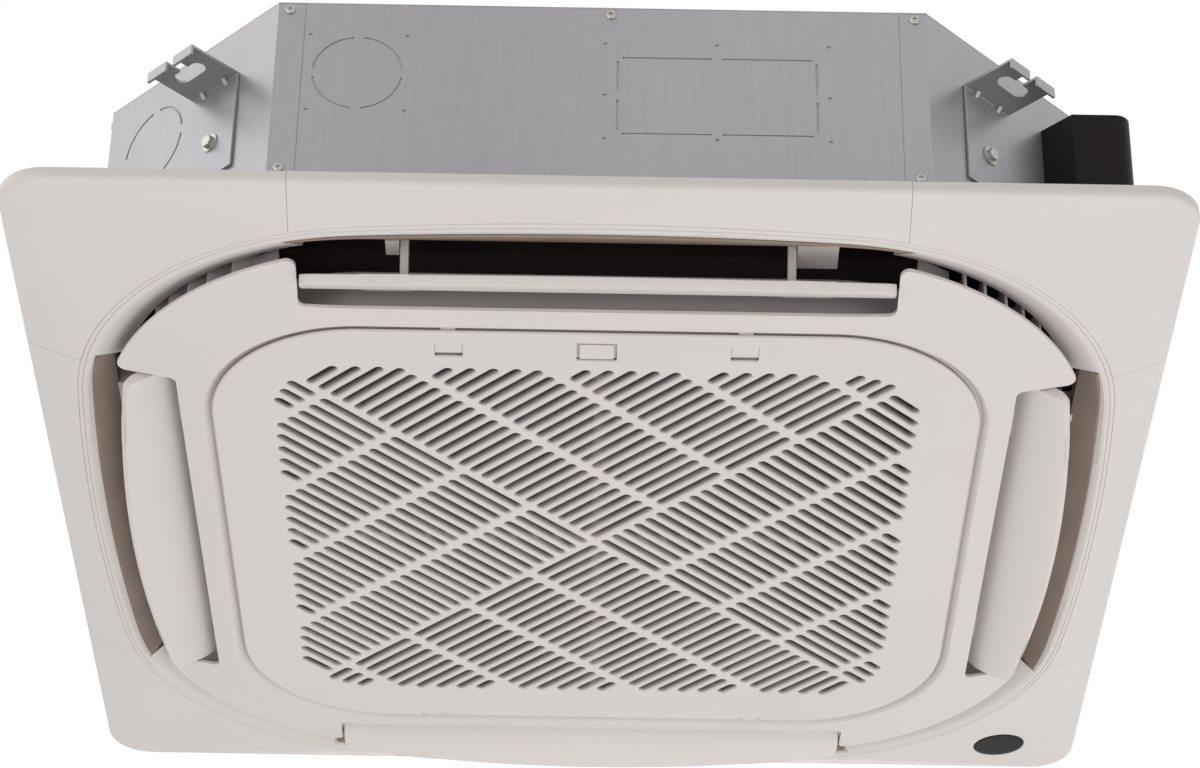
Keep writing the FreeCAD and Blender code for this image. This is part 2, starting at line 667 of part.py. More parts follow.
def make_filter():
    """The washable filter's frame with two cross ribs, and its net."""
    low = -size("disc_depth") + size("bar_depth") + size("seam_gap")
    half = size("filter_half")
    corner = size("filter_corner")
    band = size("filter_band")
    thick = size("filter_thick")
    rib = size("filter_rib") / 2
    ring = prism(square_wire(half, corner, low), thick)
    ring = ring.cut(prism(square_wire(half - band, corner - band, low), thick))
    net_z = low + (thick - size("mesh_thick")) / 2
    net = prism(square_wire(half - band - size("seam_gap"), corner - band - size("seam_gap"), net_z),
                size("mesh_thick"))
    inner = half - band / 2
    under = net_z - size("seam_gap")
    ribs = [block(-rib, -inner, low, rib, inner, under), block(-inner, -rib, low, inner, rib, under)]
    return ring.fuse(ribs), net


def make_latch(side):
    """A sliding catch of the grille: a thumb pad in its window and a plate with a tongue behind."""
    low = -size("disc_depth")
    gap = size("latch_gap")
    skin = low + size("grille_skin")
    x = side * size("latch_x")
    y = -size("latch_y")
    half_x = size("latch_window_x") / 2
    half_y = size("latch_window_y") / 2
    margin = size("latch_plate_margin")
    plate_low = skin + gap
    plate_high = plate_low + size("latch_plate")
    pad = block(x - half_x + gap, y - half_y + gap, low + gap, x + half_x - gap,
                y + half_y - gap - size("latch_travel"), plate_low + size("bury"))
    plate = block(x - half_x - margin, y - half_y - margin, plate_low, x + half_x + margin,
                  y + half_y, plate_high)
    tongue = block(x - size("latch_tongue") / 2, -size("opening_half") + gap, plate_low,
                   x + size("latch_tongue") / 2, y, plate_high)
    return pad.fuse([plate, tongue])


def make_grille_cap():
    """The small cap over the grille's locking screw, with its flange behind the skin."""
    low = -size("disc_depth")
    gap = size("latch_gap")
    skin = low + size("grille_skin")
    a = size("cover_x") / 2
    b = size("cover_y") / 2
    y = -size("latch_y")
    face = block(-a, y - b, low + gap, a, y + b, skin + gap + size("bury"))
    margin = size("latch_plate_margin") / 2
    flange = block(-a - margin, y - b - margin, skin + gap, a + margin, y + b + margin,
                   skin + gap + size("latch_plate"))
    return face.fuse(flange)


def octagon(half_text, low_text, height_text, flat_inset="0"):
    """An eight-sided block: a square whose corners are cut at 45 degrees."""
    square = box(["2 * (%s)" % half_text] * 2 + [height_text],
                 ["-(%s)" % half_text] * 2 + [low_text])
    reach = "((body_width + body_flat) / 2 / sqrt(2) - (%s))" % flat_inset
    turned_square = box(["2 * " + reach] * 2 + [height_text], ["0", "-sqrt(2) * " + reach, low_text], 45)
    return common(square, turned_square)


def make_casing():
    """Galvanised casing: top, four side plates with knock-outs, and four folded corner plates."""
    named("top_plate", octagon("body_width / 2", "body_top - sheet", "sheet"))
    wall_high = "body_top - body_bottom - sheet - sheet_gap"
    seam = "(body_flat / 2 - corner_flange - sheet_gap)"
    across = ["2 * " + seam, "sheet", wall_high]
    along = ["sheet", "2 * " + seam, wall_high]
    outer = "body_width / 2"
    front = box(across, ["-" + seam, "-" + outer, "body_bottom"])
    knockouts = round_knockout("round_x", "-body_width / 2", "round_z") + square_knockout()
    named("front_plate", cut(front, *knockouts))
    right = box(along, [outer + " - sheet", "-" + seam, "body_bottom"])
    ways = []
    for y, z, radius in (("gas_y", "stub_z", "gas_radius"), ("liquid_y", "stub_z", "liquid_radius"),
                         ("drain_y", "drain_z", "drain_radius")):
        ways.append(rod(radius + " + sheet", "4 * sheet", [outer + " - 2 * sheet", y, z], Vector(1, 0, 0)))
    named("right_plate", cut(right, *ways))
    named("back_plate", box(across, ["-" + seam, outer + " - sheet", "body_bottom"]))
    named("left_plate", box(along, ["-" + outer, "-" + seam, "body_bottom"]))
    flat = size("body_flat") / 2
    half = size("body_width") / 2
    start = flat - size("corner_flange")
    skin = size("sheet")
    bend = skin * math.tan(math.radians(22.5))
    low = size("body_bottom")
    high = size("body_top") - skin - size("sheet_gap")
    points = [(start, half), (flat, half), (half, flat), (half, start), (half - skin, start),
              (half - skin, flat - bend), (flat - bend, half - skin), (start, half - skin)]
    outline = Part.makePolygon([Vector(x, -y, low) for x, y in points + points[:1]])
    corner = prism(outline, high - low)
    for turn, name in enumerate(("corner_plate_fr", "corner_plate_br", "corner_plate_bl", "corner_plate_fl")):
        piece = turned(corner, turn)
        if name == "corner_plate_fl":
            piece = piece.cut(chamfer_knockout())
        solid(name, piece)


def round_knockout(x, y, z):
    """A round knock-out: four slits with bridges between them, and its four screw holes."""
    along = Vector(0, 1, 0)
    start = [x, y + " - sheet", z]
    ring = cut(rod("round_knockout / 2", "3 * sheet", start, along),
               rod("round_knockout / 2 - slit", "3 * sheet", start, along),
               box(["2 * round_knockout", "3 * sheet", "bridge"],
                   [x + " - round_knockout", y + " - sheet", z + " - bridge / 2"]),
               box(["bridge", "3 * sheet", "2 * round_knockout"],
                   [x + " - bridge / 2", y + " - sheet", z + " - round_knockout"]))
    holes = []
    for side_x in ("+", "-"):
        for side_z in ("+", "-"):
            holes.append(rod("screw_hole / 2", "3 * sheet",
                             ["%s %s round_hole_x / 2" % (x, side_x), y + " - sheet",
                              "%s %s round_hole_z / 2" % (z, side_z)], along))
    return [ring] + holes


def square_knockout():
    """The oblong knock-out for a fresh air duct: two slits a side, and screw holes around it."""
    y = "-body_width / 2 - sheet"
    deep = "3 * sheet"
    tools = []
    half_wide = "((plate_right - plate_left) / 2 - bridge)"
    half_tall = "((plate_high - plate_low) / 2 - bridge)"
    middle_x = "(plate_left + plate_right) / 2"
    middle_z = "(plate_low + plate_high) / 2"
    for z in ("plate_low", "plate_high - slit"):
        tools.append(box([half_wide, deep, "slit"], ["plate_left + bridge / 2", y, z]))
        tools.append(box([half_wide, deep, "slit"], [middle_x + " + bridge / 2", y, z]))
    for x in ("plate_left", "plate_right - slit"):
        tools.append(box(["slit", deep, half_tall], [x, y, "plate_low + bridge / 2"]))
        tools.append(box(["slit", deep, half_tall], [x, y, middle_z + " + bridge / 2"]))
    xs = ("plate_left - plate_border", middle_x, "plate_right + plate_border")
    zs = ("plate_low - plate_border / 2", middle_z, "plate_high + plate_border * 1.4")
    for column, x in enumerate(xs):
        for line_number, z in enumerate(zs):
            if column == 1 and line_number == 1:
                continue
            tools.append(rod("screw_hole / 2", deep, [x, y, z], Vector(0, 1, 0)))
    return tools


def chamfer_place(corner_x, corner_y, offset, z):
    """A place on a casing corner, offset towards the side: local Y inwards, local Z up."""
    reach = (size("body_width") + size("body_flat")) / 4
    middle = Vector(corner_x * reach, corner_y * reach, z)
    along = Vector(corner_x, -corner_y, 0).normalize()
    inward = Vector(-corner_x, -corner_y, 0).normalize()
    return Placement(middle + along * offset, Rotation(inward.cross(UP), inward, UP, "ZXY"))


def chamfer_knockout():
    """The slits of the round knock-out in the front left corner plate."""
    radius = size("round_knockout") / 2
    slit = size("slit")
    bridge = size("bridge")
    deep = 4 * size("sheet")
    axis = Vector(0, 1, 0)
    start = Vector(0, -deep / 2, 0)
    ring = Part.makeCylinder(radius, deep, start, axis).cut(
        [Part.makeCylinder(radius - slit, deep, start, axis),
         block(-2 * radius, -deep, -bridge / 2, 2 * radius, deep, bridge / 2),
         block(-bridge / 2, -deep, -2 * radius, bridge / 2, deep, 2 * radius)])
    ring.Placement = chamfer_place(-1, -1, size("chamfer_knockout_offset"), size("chamfer_knockout_z"))
    return ring


def make_hangers():
    """Four hanging brackets on the casing corners, each with an open slot, and their bolts."""
    width = size("hanger_width")
    skin = size("hanger_sheet")
    gap = size("sheet_gap")
    drop = size("hanger_drop")
    reach = size("hanger_reach")
    lip_drop = size("hanger_lip")
    slot_wide = size("hang_slot_width")
    slot_long = size("hang_slot_length")
    mouth = size("hang_mouth")
    chamfer = (size("body_width") + size("body_flat")) / 2 / math.sqrt(2)
    slot_out = (size("hang_x") + size("hang_y")) / math.sqrt(2) - chamfer
    offset = (size("hang_x") - size("hang_y")) / math.sqrt(2)
    back = -gap
    plate = block(-width / 2, back - skin, -drop, width / 2, back, 0)
    flange = block(-width / 2, back - reach, -skin, width / 2, back, 0)
    slot = block(-(slot_long - slot_wide) / 2, -slot_out - slot_wide / 2, -2 * skin,
                 (slot_long - slot_wide) / 2, -slot_out + slot_wide / 2, skin)
    ends = [Part.makeCylinder(slot_wide / 2, 3 * skin, Vector(side * (slot_long - slot_wide) / 2, -slot_out,
                                                             -2 * skin)) for side in (-1, 1)]
    way_out = block(-mouth / 2, back - 2 * reach, -2 * skin, mouth / 2, -slot_out, skin)
    flange = flange.cut([slot, way_out] + ends)
    lips = []
    for side in (-1, 1):
        x0 = mouth / 2 if side > 0 else -width / 2
        x1 = width / 2 if side > 0 else -mouth / 2
        lips.append(block(x0, back - reach, -lip_drop, x1, back - reach + skin, 0))
    gussets = []
    dart = size("dart_reach")
    dart_wide = size("dart_width")
    for side in (-1, 1):
        x = side * width / 4
        near = x - dart_wide / 2
        web = Part.makePolygon([Vector(near, back, -skin / 2), Vector(near, back - dart, -skin / 2),
                                Vector(near, back - skin / 2, -dart), Vector(near, back, -dart),
                                Vector(near, back, -skin / 2)])
        gussets.append(Part.Face(web).extrude(Vector(dart_wide, 0, 0)))
    bolt_z = -size("hanger_bolt_drop")
    hole = Part.makeCylinder(size("bolt_head") / 3.2, 3 * skin, Vector(0, back + skin, bolt_z), Vector(0, -1, 0))
    bracket = plate.fuse([flange] + lips + gussets).cut(hole).removeSplitter()
    head = size("bolt_head") / math.sqrt(3)
    hexagon = [Vector(head * math.cos(math.radians(60 * n)), 0, head * math.sin(math.radians(60 * n)))
               for n in range(7)]
    washer = size("washer_thick")
    bolt = Part.Face(Part.makePolygon(hexagon)).extrude(Vector(0, -size("bolt_head_high"), 0))
    bolt.translate(Vector(0, back - skin - washer, bolt_z))
    disc = Part.makeCylinder(size("washer_radius"), washer, Vector(0, back - skin, bolt_z), Vector(0, -1, 0))
    shank = Part.makeCylinder(size("bolt_head") / 3.6, washer + skin, Vector(0, back, bolt_z), Vector(0, -1, 0))
    bolt = bolt.fuse([disc, shank])
    bolts = []
    for name, corner_x, corner_y in (("hanger_fl", -1, -1), ("hanger_fr", 1, -1),
                                     ("hanger_br", 1, 1), ("hanger_bl", -1, 1)):
        place = chamfer_place(corner_x, corner_y, offset, size("hanger_z"))
        piece = bracket.copy()
        piece.Placement = place
        fixing = bolt.copy()
        fixing.Placement = place
        solid(name, piece)
        bolts.append(fixing)
    solid("hanger_bolts", Part.makeCompound(bolts))


def make_casing_screws():
    """Screw heads along the casing's corner flanges, with one more at the top of each side."""
    half = size("body_width") / 2
    places = [(side * size("case_screw_x"), z) for side in (-1, 1)
              for z in (size("screw_top_z"), size("screw_low_z"))]
    places.append((size("side_screw_x"), size("screw_top_z")))
    screws = []
    for x, z in places:
        head = Part.makeCylinder(size("case_screw_head"), size("case_screw_high"),
                                 Vector(x, -half, z), Vector(0, -1, 0))
        screws.append(head)
    group = [turned(screw, turn) for turn in range(4) for screw in screws]
    solid("casing_screws", Part.makeCompound(group))


def make_air_path():
    """Insulation, coil, drain pan, fan inlet ring, fan and motor."""
    outer = "body_width / 2 - sheet - insulation_gap"
    shell_low = "pan_top + pan_gap"
    shell_high = "body_top - sheet - pan_top - 2 * pan_gap"
    cup = octagon(outer, shell_low, shell_high, "sheet + insulation_gap")
    hollow = octagon(outer + " - insulation", shell_low, shell_high + " - insulation_top",
                     "sheet + insulation_gap + insulation")
    eye = rod("mount_radius + 4 * sheet", "body_top", ["0", "0", "0"])
    ways = [rod("drain_radius + sheet", "body_width", ["0", "drain_y", "drain_z"], Vector(1, 0, 0)),
            rod("gas_radius + sheet", "body_width", ["0", "gas_y", "stub_z"], Vector(1, 0, 0)),
            rod("liquid_radius + sheet", "body_width", ["0", "liquid_y", "stub_z"], Vector(1, 0, 0))]
    named("casing_insulation", cut(cup, hollow, eye, *ways))

    low = size("pan_trough") + size("pan_gap")
    high = size("coil_top")
    corner = size("coil_corner")
    inner_half = size("coil_outer") - size("coil_thick")
    coil = prism(square_wire(size("coil_outer"), corner, low), high - low)
    coil = coil.cut(prism(square_wire(inner_half, corner - size("coil_thick"), low), high - low))
    gap_at = size("coil_gap_corner")
    coil = coil.cut(block(gap_at, -size("body_width"), 0, size("body_width"), -gap_at, size("body_top")))
    solid("evaporator_coil", coil)

    pan = octagon(outer, "body_bottom", "pan_top - body_bottom", "sheet + insulation_gap")
    slots = []
    slot_deep = "outlet_outer - pan_slot_inner"
    for start in ("-outlet_outer", "pan_slot_inner"):
        slots.append(box(["2 * outlet_half", slot_deep, "body_top"], ["-outlet_half", start, "0"]))
        slots.append(box([slot_deep, "2 * outlet_half", "body_top"], [start, "-outlet_half", "0"]))
    hole = rod("pan_eye", "body_top", ["0", "0", "0"])
    basin = cut(pan, hole, *slots)
    margin = size("trough_margin")
    trough_z = size("pan_trough")
    depth = size("pan_top")
    document.recompute()
    ring = prism(square_wire(size("coil_outer") + margin / 2, corner, trough_z), depth)
    ring = ring.cut(prism(square_wire(inner_half - margin, corner - size("coil_thick"), trough_z), depth))
    solid("drain_pan", basin.Shape.cut(ring))

    flange_z = size("body_bottom")
    skin = size("inlet_skin")
    flange = size("inlet_flange")
    throat = size("inlet_throat")
    top = size("inlet_top")
    bend = size("pan_eye") - throat - 2 * skin
    profile = Part.Wire([
        line(Vector(flange, 0, flange_z - skin), Vector(throat + bend, 0, flange_z - skin)),
        arc(Vector(throat + bend, 0, flange_z - skin),
            Vector(throat + bend * (1 - math.sqrt(0.5)), 0, flange_z - skin + bend * (1 - math.sqrt(0.5))),
            Vector(throat, 0, flange_z - skin + bend)),
        line(Vector(throat, 0, flange_z - skin + bend), Vector(throat, 0, top)),
        line(Vector(throat, 0, top), Vector(throat + skin, 0, top)),
        line(Vector(throat + skin, 0, top), Vector(throat + skin, 0, flange_z - skin + bend)),
        arc(Vector(throat + skin, 0, flange_z - skin + bend),
            Vector(throat + skin + (bend - skin) * (1 - math.sqrt(0.5)), 0,
                   flange_z + (bend - skin) * (1 - math.sqrt(0.5))),
            Vector(throat + bend, 0, flange_z)),
        line(Vector(throat + bend, 0, flange_z), Vector(flange, 0, flange_z)),
        line(Vector(flange, 0, flange_z), Vector(flange, 0, flange_z - skin))])
    ring = Part.Face(profile).revolve(Vector(), UP, 360)
    ring.translate(Vector(0, 0, -size("pan_gap")))
    solid("fan_inlet_ring", ring)
    solid("turbo_fan", make_fan())

    named("fan_shaft", rod("shaft_radius", "shaft_high - shaft_low", ["0", "0", "shaft_low"]))
    nut = cut(rod("nut_radius", "nut_high", ["0", "0", "hub_low_z - nut_high"]),
              rod("shaft_radius + pin_clearance", "2 * nut_high", ["0", "0", "hub_low_z - 1.5 * nut_high"]))
    named("fan_nut", nut)
    motor = cut(rod("motor_radius", "motor_high - motor_low", ["0", "0", "motor_low"]),
                rod("shaft_radius + pin_clearance", "shaft_high - motor_low + 2 * pan_gap",
                    ["0", "0", "motor_low - pan_gap"]))
    named("fan_motor", motor)
    named("motor_mount", rod("mount_radius", "body_top - sheet - motor_high", ["0", "0", "motor_high"]))


def make_fan():
    """The turbo fan: hub cup, back plate, swept blades and shroud, in one moulding."""
    skin = size("fan_skin")
    radius = size("fan_radius")
    back = size("fan_back_z")
    hub = size("hub_radius")
    low = size("hub_low_z")
    bore = size("shaft_radius") + size("pin_clearance")
    cup = [Vector(bore, 0, low), Vector(hub - 2 * skin, 0, low), Vector(hub + skin, 0, back - skin),
           Vector(radius, 0, back - skin), Vector(radius, 0, back), Vector(hub, 0, back),
           Vector(hub - 3 * skin, 0, low + skin), Vector(bore, 0, low + skin), Vector(bore, 0, low)]
    fan = Part.Face(Part.makePolygon(cup)).revolve(Vector(), UP, 360)
    eye = size("fan_eye")
    shroud_low = size("fan_low")
    rise = size("fan_shroud_rise")
    shroud = [Vector(eye, 0, shroud_low), Vector(eye + skin, 0, shroud_low),
              Vector(eye + 2.5 * skin, 0, shroud_low + rise - 2 * skin), Vector(radius, 0, shroud_low + rise),
              Vector(radius, 0, shroud_low + rise + skin), Vector(eye + skin, 0, shroud_low + rise - skin),
              Vector(eye, 0, shroud_low)]
    pieces = [Part.Face(Part.makePolygon(shroud)).revolve(Vector(), UP, 360)]
    inner = size("blade_inner")
    thick = size("blade_skin")
    count = int(size("fan_blades"))
    blade_low = shroud_low + rise - 2 * skin
    tip = radius - skin
    sweep = math.radians(size("blade_sweep"))

    def rim(distance, angle):
        return Vector(distance * math.cos(angle), distance * math.sin(angle), blade_low)

    middle = (inner + tip) / 2
    nose = thick / middle
    outline = Part.Wire([
        arc(rim(inner, 0), rim(middle, -0.36 * sweep), rim(tip, -sweep)),
        line(rim(tip, -sweep), rim(tip, -sweep + nose)),
        arc(rim(tip, -sweep + nose), rim(middle, -0.36 * sweep + 2 * nose), rim(inner, nose)),
        line(rim(inner, nose), rim(inner, 0))])
    blade = prism(outline, back - skin / 2 - blade_low)
    for index in range(count):
        copy = blade.copy()
        copy.rotate(Vector(), UP, 360 / count * index)
        pieces.append(copy)
    return fan.fuse(pieces)


def make_refrigerant_pipes():
    """The coil's headers and return bends at its open corner, and the connections on the right side."""
    x = size("header_x")
    y = -size("header_y")
    low = size("pan_top") + size("pan_gap")
    high = size("coil_top")
    radius = size("header_radius")
    gap_at = size("coil_gap_corner")
    header_gas = Part.makeCylinder(radius, high - low, Vector(x, y - radius, low))
    header_liquid = Part.makeCylinder(size("tube_radius"), high - low, Vector(gap_at + radius, -x, low))
    pieces = [header_gas, header_liquid]
    tube = size("tube_radius")
    levels = int(size("header_levels"))
    gap = size("seam_gap")
    step = (high - low) / (levels + 1)
    for level in range(1, levels + 1):
        z = low + level * step
        pieces.append(Part.makeCylinder(tube, radius - gap, Vector(x, -gap_at - radius, z), Vector(0, 1, 0)))
        pieces.append(Part.makeCylinder(tube, radius, Vector(gap_at + gap, -x, z), Vector(1, 0, 0)))
    gas = header_gas.fuse(pieces[2::2])
    liquid = header_liquid.fuse(pieces[3::2])
    solid("coil_headers", Part.makeCompound([gas, liquid]))
    half = size("body_width") / 2
    wall = size("pipe_wall")
    stub_z = size("stub_z")
    inner_x = size("coil_outer") + size("seam_gap")
    for name, radius, y in (("gas_connection", size("gas_radius"), size("gas_y")),
                            ("liquid_connection", size("liquid_radius"), size("liquid_y"))):
        length = half + size("stub_out") - inner_x
        tube = Part.makeCylinder(radius, length, Vector(inner_x, y, stub_z), Vector(1, 0, 0))
        nut_long = size("flare_nut_long")
        nut_radius = size("flare_nut_radius") * radius / size("gas_radius")
        hexagon = [Vector(half + wall, y + nut_radius * math.cos(math.radians(60 * n)),
                          stub_z + nut_radius * math.sin(math.radians(60 * n))) for n in range(7)]
        nut = Part.Face(Part.makePolygon(hexagon)).extrude(Vector(nut_long, 0, 0))
        bore = Part.makeCylinder(radius - wall, length - wall, Vector(inner_x + wall, y, stub_z), Vector(1, 0, 0))
        solid(name, tube.fuse(nut).cut(bore))
    pipe = rod("drain_radius", "stub_out + insulation + sheet",
               ["body_width / 2 - insulation - sheet", "drain_y", "drain_z"], Vector(1, 0, 0))
    collar = rod("drain_radius + 3 * sheet", "2 * sheet", ["body_width / 2 + sheet_gap", "drain_y", "drain_z"],
                 Vector(1, 0, 0))
    bore = rod("drain_radius - 2 * pipe_wall", "stub_out + insulation + 4 * sheet",
               ["body_width / 2 - insulation - 2 * sheet", "drain_y", "drain_z"], Vector(1, 0, 0))
    named("drain_spigot", cut(fuse(pipe, collar), bore))


def make_pump():
    """The condensate pump in the open corner of the coil, its impeller, and the level float."""
    at = ["pump_x", "pump_y"]
    housing = rod("pump_radius", "pump_high - pump_low", at + ["pump_low"])
    chamber = rod("chamber_radius", "pump_low - chamber_low", at + ["chamber_low"])
    hollow = rod("chamber_radius - chamber_wall", "pump_low - chamber_low", at + ["chamber_low"])
    spindle_room = rod("spindle_radius + pin_clearance", "pump_high - pump_low", at + ["chamber_low + chamber_wall"])
    stem_at = ["pump_x + float_dx", "pump_y"]
    stem = rod("stem_radius", "stem_high - stem_low", stem_at + ["stem_low"])
    stop = rod("stop_radius", "2 * sheet", stem_at + ["stem_low"])
    arm = box(["-float_dx", "2 * float_arm", "float_arm"],
              ["pump_x + float_dx", "pump_y - float_arm", "stem_high - float_arm"])
    arm_end = rod("stop_radius", "float_arm", stem_at + ["stem_high - float_arm"])
    foot = box(["float_arm", "pump_radius / 2", "chamber_low - pan_trough - pan_gap + float_arm"],
               ["pump_x - float_arm / 2", "pump_y + chamber_radius - chamber_wall / 2", "pan_trough + pan_gap"])
    base = fuse(housing, chamber, stem, stop, arm, arm_end, foot)
    named("drain_pump", cut(base, hollow, spindle_room))
    blades = [box(["2 * impeller_radius", "spindle_radius", "impeller_high - impeller_low"],
                  ["pump_x - impeller_radius", "pump_y - spindle_radius / 2", "impeller_low"]),
              box(["spindle_radius", "2 * impeller_radius", "impeller_high - impeller_low"],
                  ["pump_x - spindle_radius / 2", "pump_y - impeller_radius", "impeller_low"])]
    spindle = rod("spindle_radius", "pump_low - impeller_low + 4 * spindle_radius", at + ["impeller_low"])
    named("pump_impeller", fuse(spindle, *blades))
    named("level_float", cut(rod("float_radius", "float_high - float_low", stem_at + ["float_low"]),
                             rod("stem_radius + 2 * pin_clearance", "stem_high", stem_at + ["0"])))


def make_electrics():
    """The control box under the drain pan, its lid, circuit board and terminal block."""
    wide = "2 * box_half"
    deep = "box_far - box_near"
    tray = cut(box([wide, deep, "body_bottom - pan_gap - box_low"], ["-box_half", "box_near", "box_low"]),
               box([wide + " - 2 * box_skin", deep + " - 2 * box_skin", "body_bottom - box_low"],
                   ["-box_half + box_skin", "box_near + box_skin", "box_low - pan_gap - 2 * box_skin"]))
    named("control_box", tray)
    named("control_lid", box([wide, deep, "lid_skin"], ["-box_half", "box_near", "box_low - lid_skin"]))
    board = box(["2 * board_half", deep + " - 2 * board_margin", "board_skin"],
                ["-box_half + board_margin", "box_near + board_margin", "board_z"])
    posts = []
    for x in ("-box_half + 2 * board_margin", "-box_half + 2 * board_half"):
        for y in ("box_near + 2 * board_margin", "box_far - 2 * board_margin"):
            posts.append(rod("spindle_radius", "body_bottom - 2 * pan_gap - 2 * box_skin - board_z",
                             [x, y, "board_z + sheet_gap"]))
    chip = box(["board_margin * 3", "board_margin * 2", "component_high"],
               ["-board_half / 2", "box_near + 2.5 * board_margin", "board_z - component_high + sheet_gap"])
    named("circuit_board", fuse(board, chip, *posts))
    named("terminal_block", box(["block_long", "block_wide", "block_high"],
                                ["box_half - box_skin - block_long - board_margin", "box_near + board_margin",
                                 "body_bottom - 2 * pan_gap - 2 * box_skin - block_high"]))


def make_side_cover():
    """The plastic cover over the pipe corner, a shell on the front right of the casing."""
    half = size("body_width") / 2
    flat = size("body_flat") / 2
    gap = size("sheet_gap")
    wall = size("cover_wall")
    side = half + size("cover_out")
    rounding = size("cover_round")
    low = size("cover_low")
    high = size("cover_high")
    middle = (half + flat) / 2
    along = size("cover_on_chamfer") * math.sqrt(0.5)
    clear = gap * math.sqrt(2)
    root = Vector(middle + along + clear, -(middle - along), low)
    out = size("cover_reach") * math.sqrt(0.5)
    front = Vector(root.x + out, root.y - out, low)

    def outline(shrink, z):
        side_x = side - shrink
        front_y = front.y + shrink
        bend = (rounding - shrink) * (1 - math.sqrt(0.5))
        turn_a = Vector(side_x - rounding + shrink, front_y, z)
        turn_b = Vector(side_x - bend, front_y + bend, z)
        turn_c = Vector(side_x, front_y + rounding - shrink, z)
        slant = shrink * math.tan(math.radians(22.5))
        tail = size("cover_end") - shrink
        start = Vector(root.x + shrink * math.sqrt(0.5), root.y + shrink * math.sqrt(0.5), z)
        corner = Vector(front.x + slant, front_y, z)
        wall_in = half + gap
        fold = Vector(wall_in, -(flat - gap * math.tan(math.radians(22.5))), z)
        return Part.Wire([line(start, corner), line(corner, turn_a), arc(turn_a, turn_b, turn_c),
                          line(turn_c, Vector(side_x, tail, z)),
                          line(Vector(side_x, tail, z), Vector(wall_in, tail, z)),
                          line(Vector(wall_in, tail, z), fold), line(fold, start)])

    shell = prism(outline(0, low), high - low)
    hollow = prism(outline(wall, low - wall), high - low)
    return shell.cut(hollow)


def make_receiver(hull):
    """The dark window of the remote control receiver, set in the back right corner cover."""
    radius = size("window_radius") - size("window_gap")
    depth = size("disc_depth")
    plug = hull.common(Part.makeCylinder(radius, 2 * depth, window_place(-depth)))
    return plug.cut(panel_hull(size("cover_skin") + size("seam_gap") / 2))


def make_seals():
    """Foam seals between the panel and the casing: round the outlets and round the intake."""
    low = size("collar_top")
    high = size("body_bottom")
    over = size("overshoot")
    half = size("outlet_half")
    hole = prism(lip.wire(-size("flare_width"), low - over), high + over)
    corner = hole.common(corner_region(half - size("bury"), low - over, high + over))
    slot = block(-half, -size("outlet_outer"), low - over, half, 0, high + over)
    spaces = [turned(space, turn) for space in (corner, slot) for turn in range(4)]
    outer = collar_block(low, high).cut(spaces)
    inner_half = size("upstand_half")
    corner = size("opening_corner") + inner_half - size("opening_half")
    wall = size("upstand_wall")
    inner = prism(square_wire(inner_half + wall, corner + wall, low), high - low)
    inner = inner.cut(prism(square_wire(inner_half, corner, low), high - low))
    return Part.makeCompound([outer, inner])


def make_liners(mouth):
    """The lining of the four outlets: a thin sheet on the flared outer wall."""
    skin = size("liner_skin")
    gap = size("seam_gap")
    whole = mouth[0].fuse(mouth[1:])
    shell = whole.copy()
    shell.translate(Vector(0, gap, -gap))
    inside = whole.copy()
    inside.translate(Vector(0, gap + skin, -gap - skin))
    half = size("liner_half")
    reach = size("lip_half")
    keep = block(-half, -reach, -size("lip_depth"), half, -size("outlet_outer") + 2 * skin,
                 -size("bracket_drop") - gap)
    liner = shell.common(keep).cut(inside)
    return [turned(liner, turn) for turn in range(4)]


hull = panel_hull(0)
covers, covers_space = make_corner_covers(hull)
solid("panel_frame", make_panel_frame(hull, covers_space))
for corner_name, cover in zip(("fr", "br", "bl", "fl"), covers):
    solid("corner_cover_" + corner_name, cover)
solid("inner_panel", make_inner_panel())
louver = make_louver()
bearing = louver_support(-1, size("bracket_thick"), size("bracket_depth"), size("bracket_drop"))
drive = louver_support(1, size("motor_width"), size("motor_depth"), size("motor_drop"))
for turn, side_name in enumerate(("front", "right", "back", "left")):
    solid("louver_" + side_name, turned(louver, turn))
    solid("louver_motor_" + side_name, turned(drive, turn))
solid("louver_bearings", Part.makeCompound([turned(bearing, turn) for turn in range(4)]))
solid("outlet_liners", Part.makeCompound(make_liners(outlet_mouth())))
solid("receiver_window", make_receiver(hull))
solid("panel_seals", make_seals())
solid("intake_grille", make_intake_grille())
filter_frame, filter_net = make_filter()
solid("filter_frame", filter_frame)
solid("filter_net", filter_net)
solid("grille_latch_left", make_latch(-1))
solid("grille_latch_right", make_latch(1))
solid("grille_screw_cap", make_grille_cap())
make_casing()
make_hangers()
make_casing_screws()
make_air_path()
make_refrigerant_pipes()
make_pump()
make_electrics()
solid("pipe_cover", make_side_cover())

document.recompute()
faults = [obj.Label for obj in document.Objects if "Invalid" in obj.State or "Error" in obj.State]
for name, obj in nodes.items():
    if obj.Shape.isNull() or not obj.Shape.isValid() or not obj.Shape.Solids:
        faults.append(name)
if faults:
    raise RuntimeError("these did not build: " + ", ".join(faults))
os.makedirs("parts", exist_ok=True)
for name, obj in nodes.items():
    obj.Shape.exportStep("parts/%s.step" % name)
    print(name, len(obj.Shape.Solids), round(obj.Shape.Volume / 1000, 2))
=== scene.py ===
"""Finishes a ceiling cassette air conditioner round its CAD frame and sets it in a studio."""
import json
import math

import bmesh
import bpy
from bpy.props import FloatProperty, FloatVectorProperty, IntProperty, PointerProperty
from mathutils import Matrix, Vector
from mathutils.bvhtree import BVHTree
from mathutils.geometry import delaunay_2d_cdt

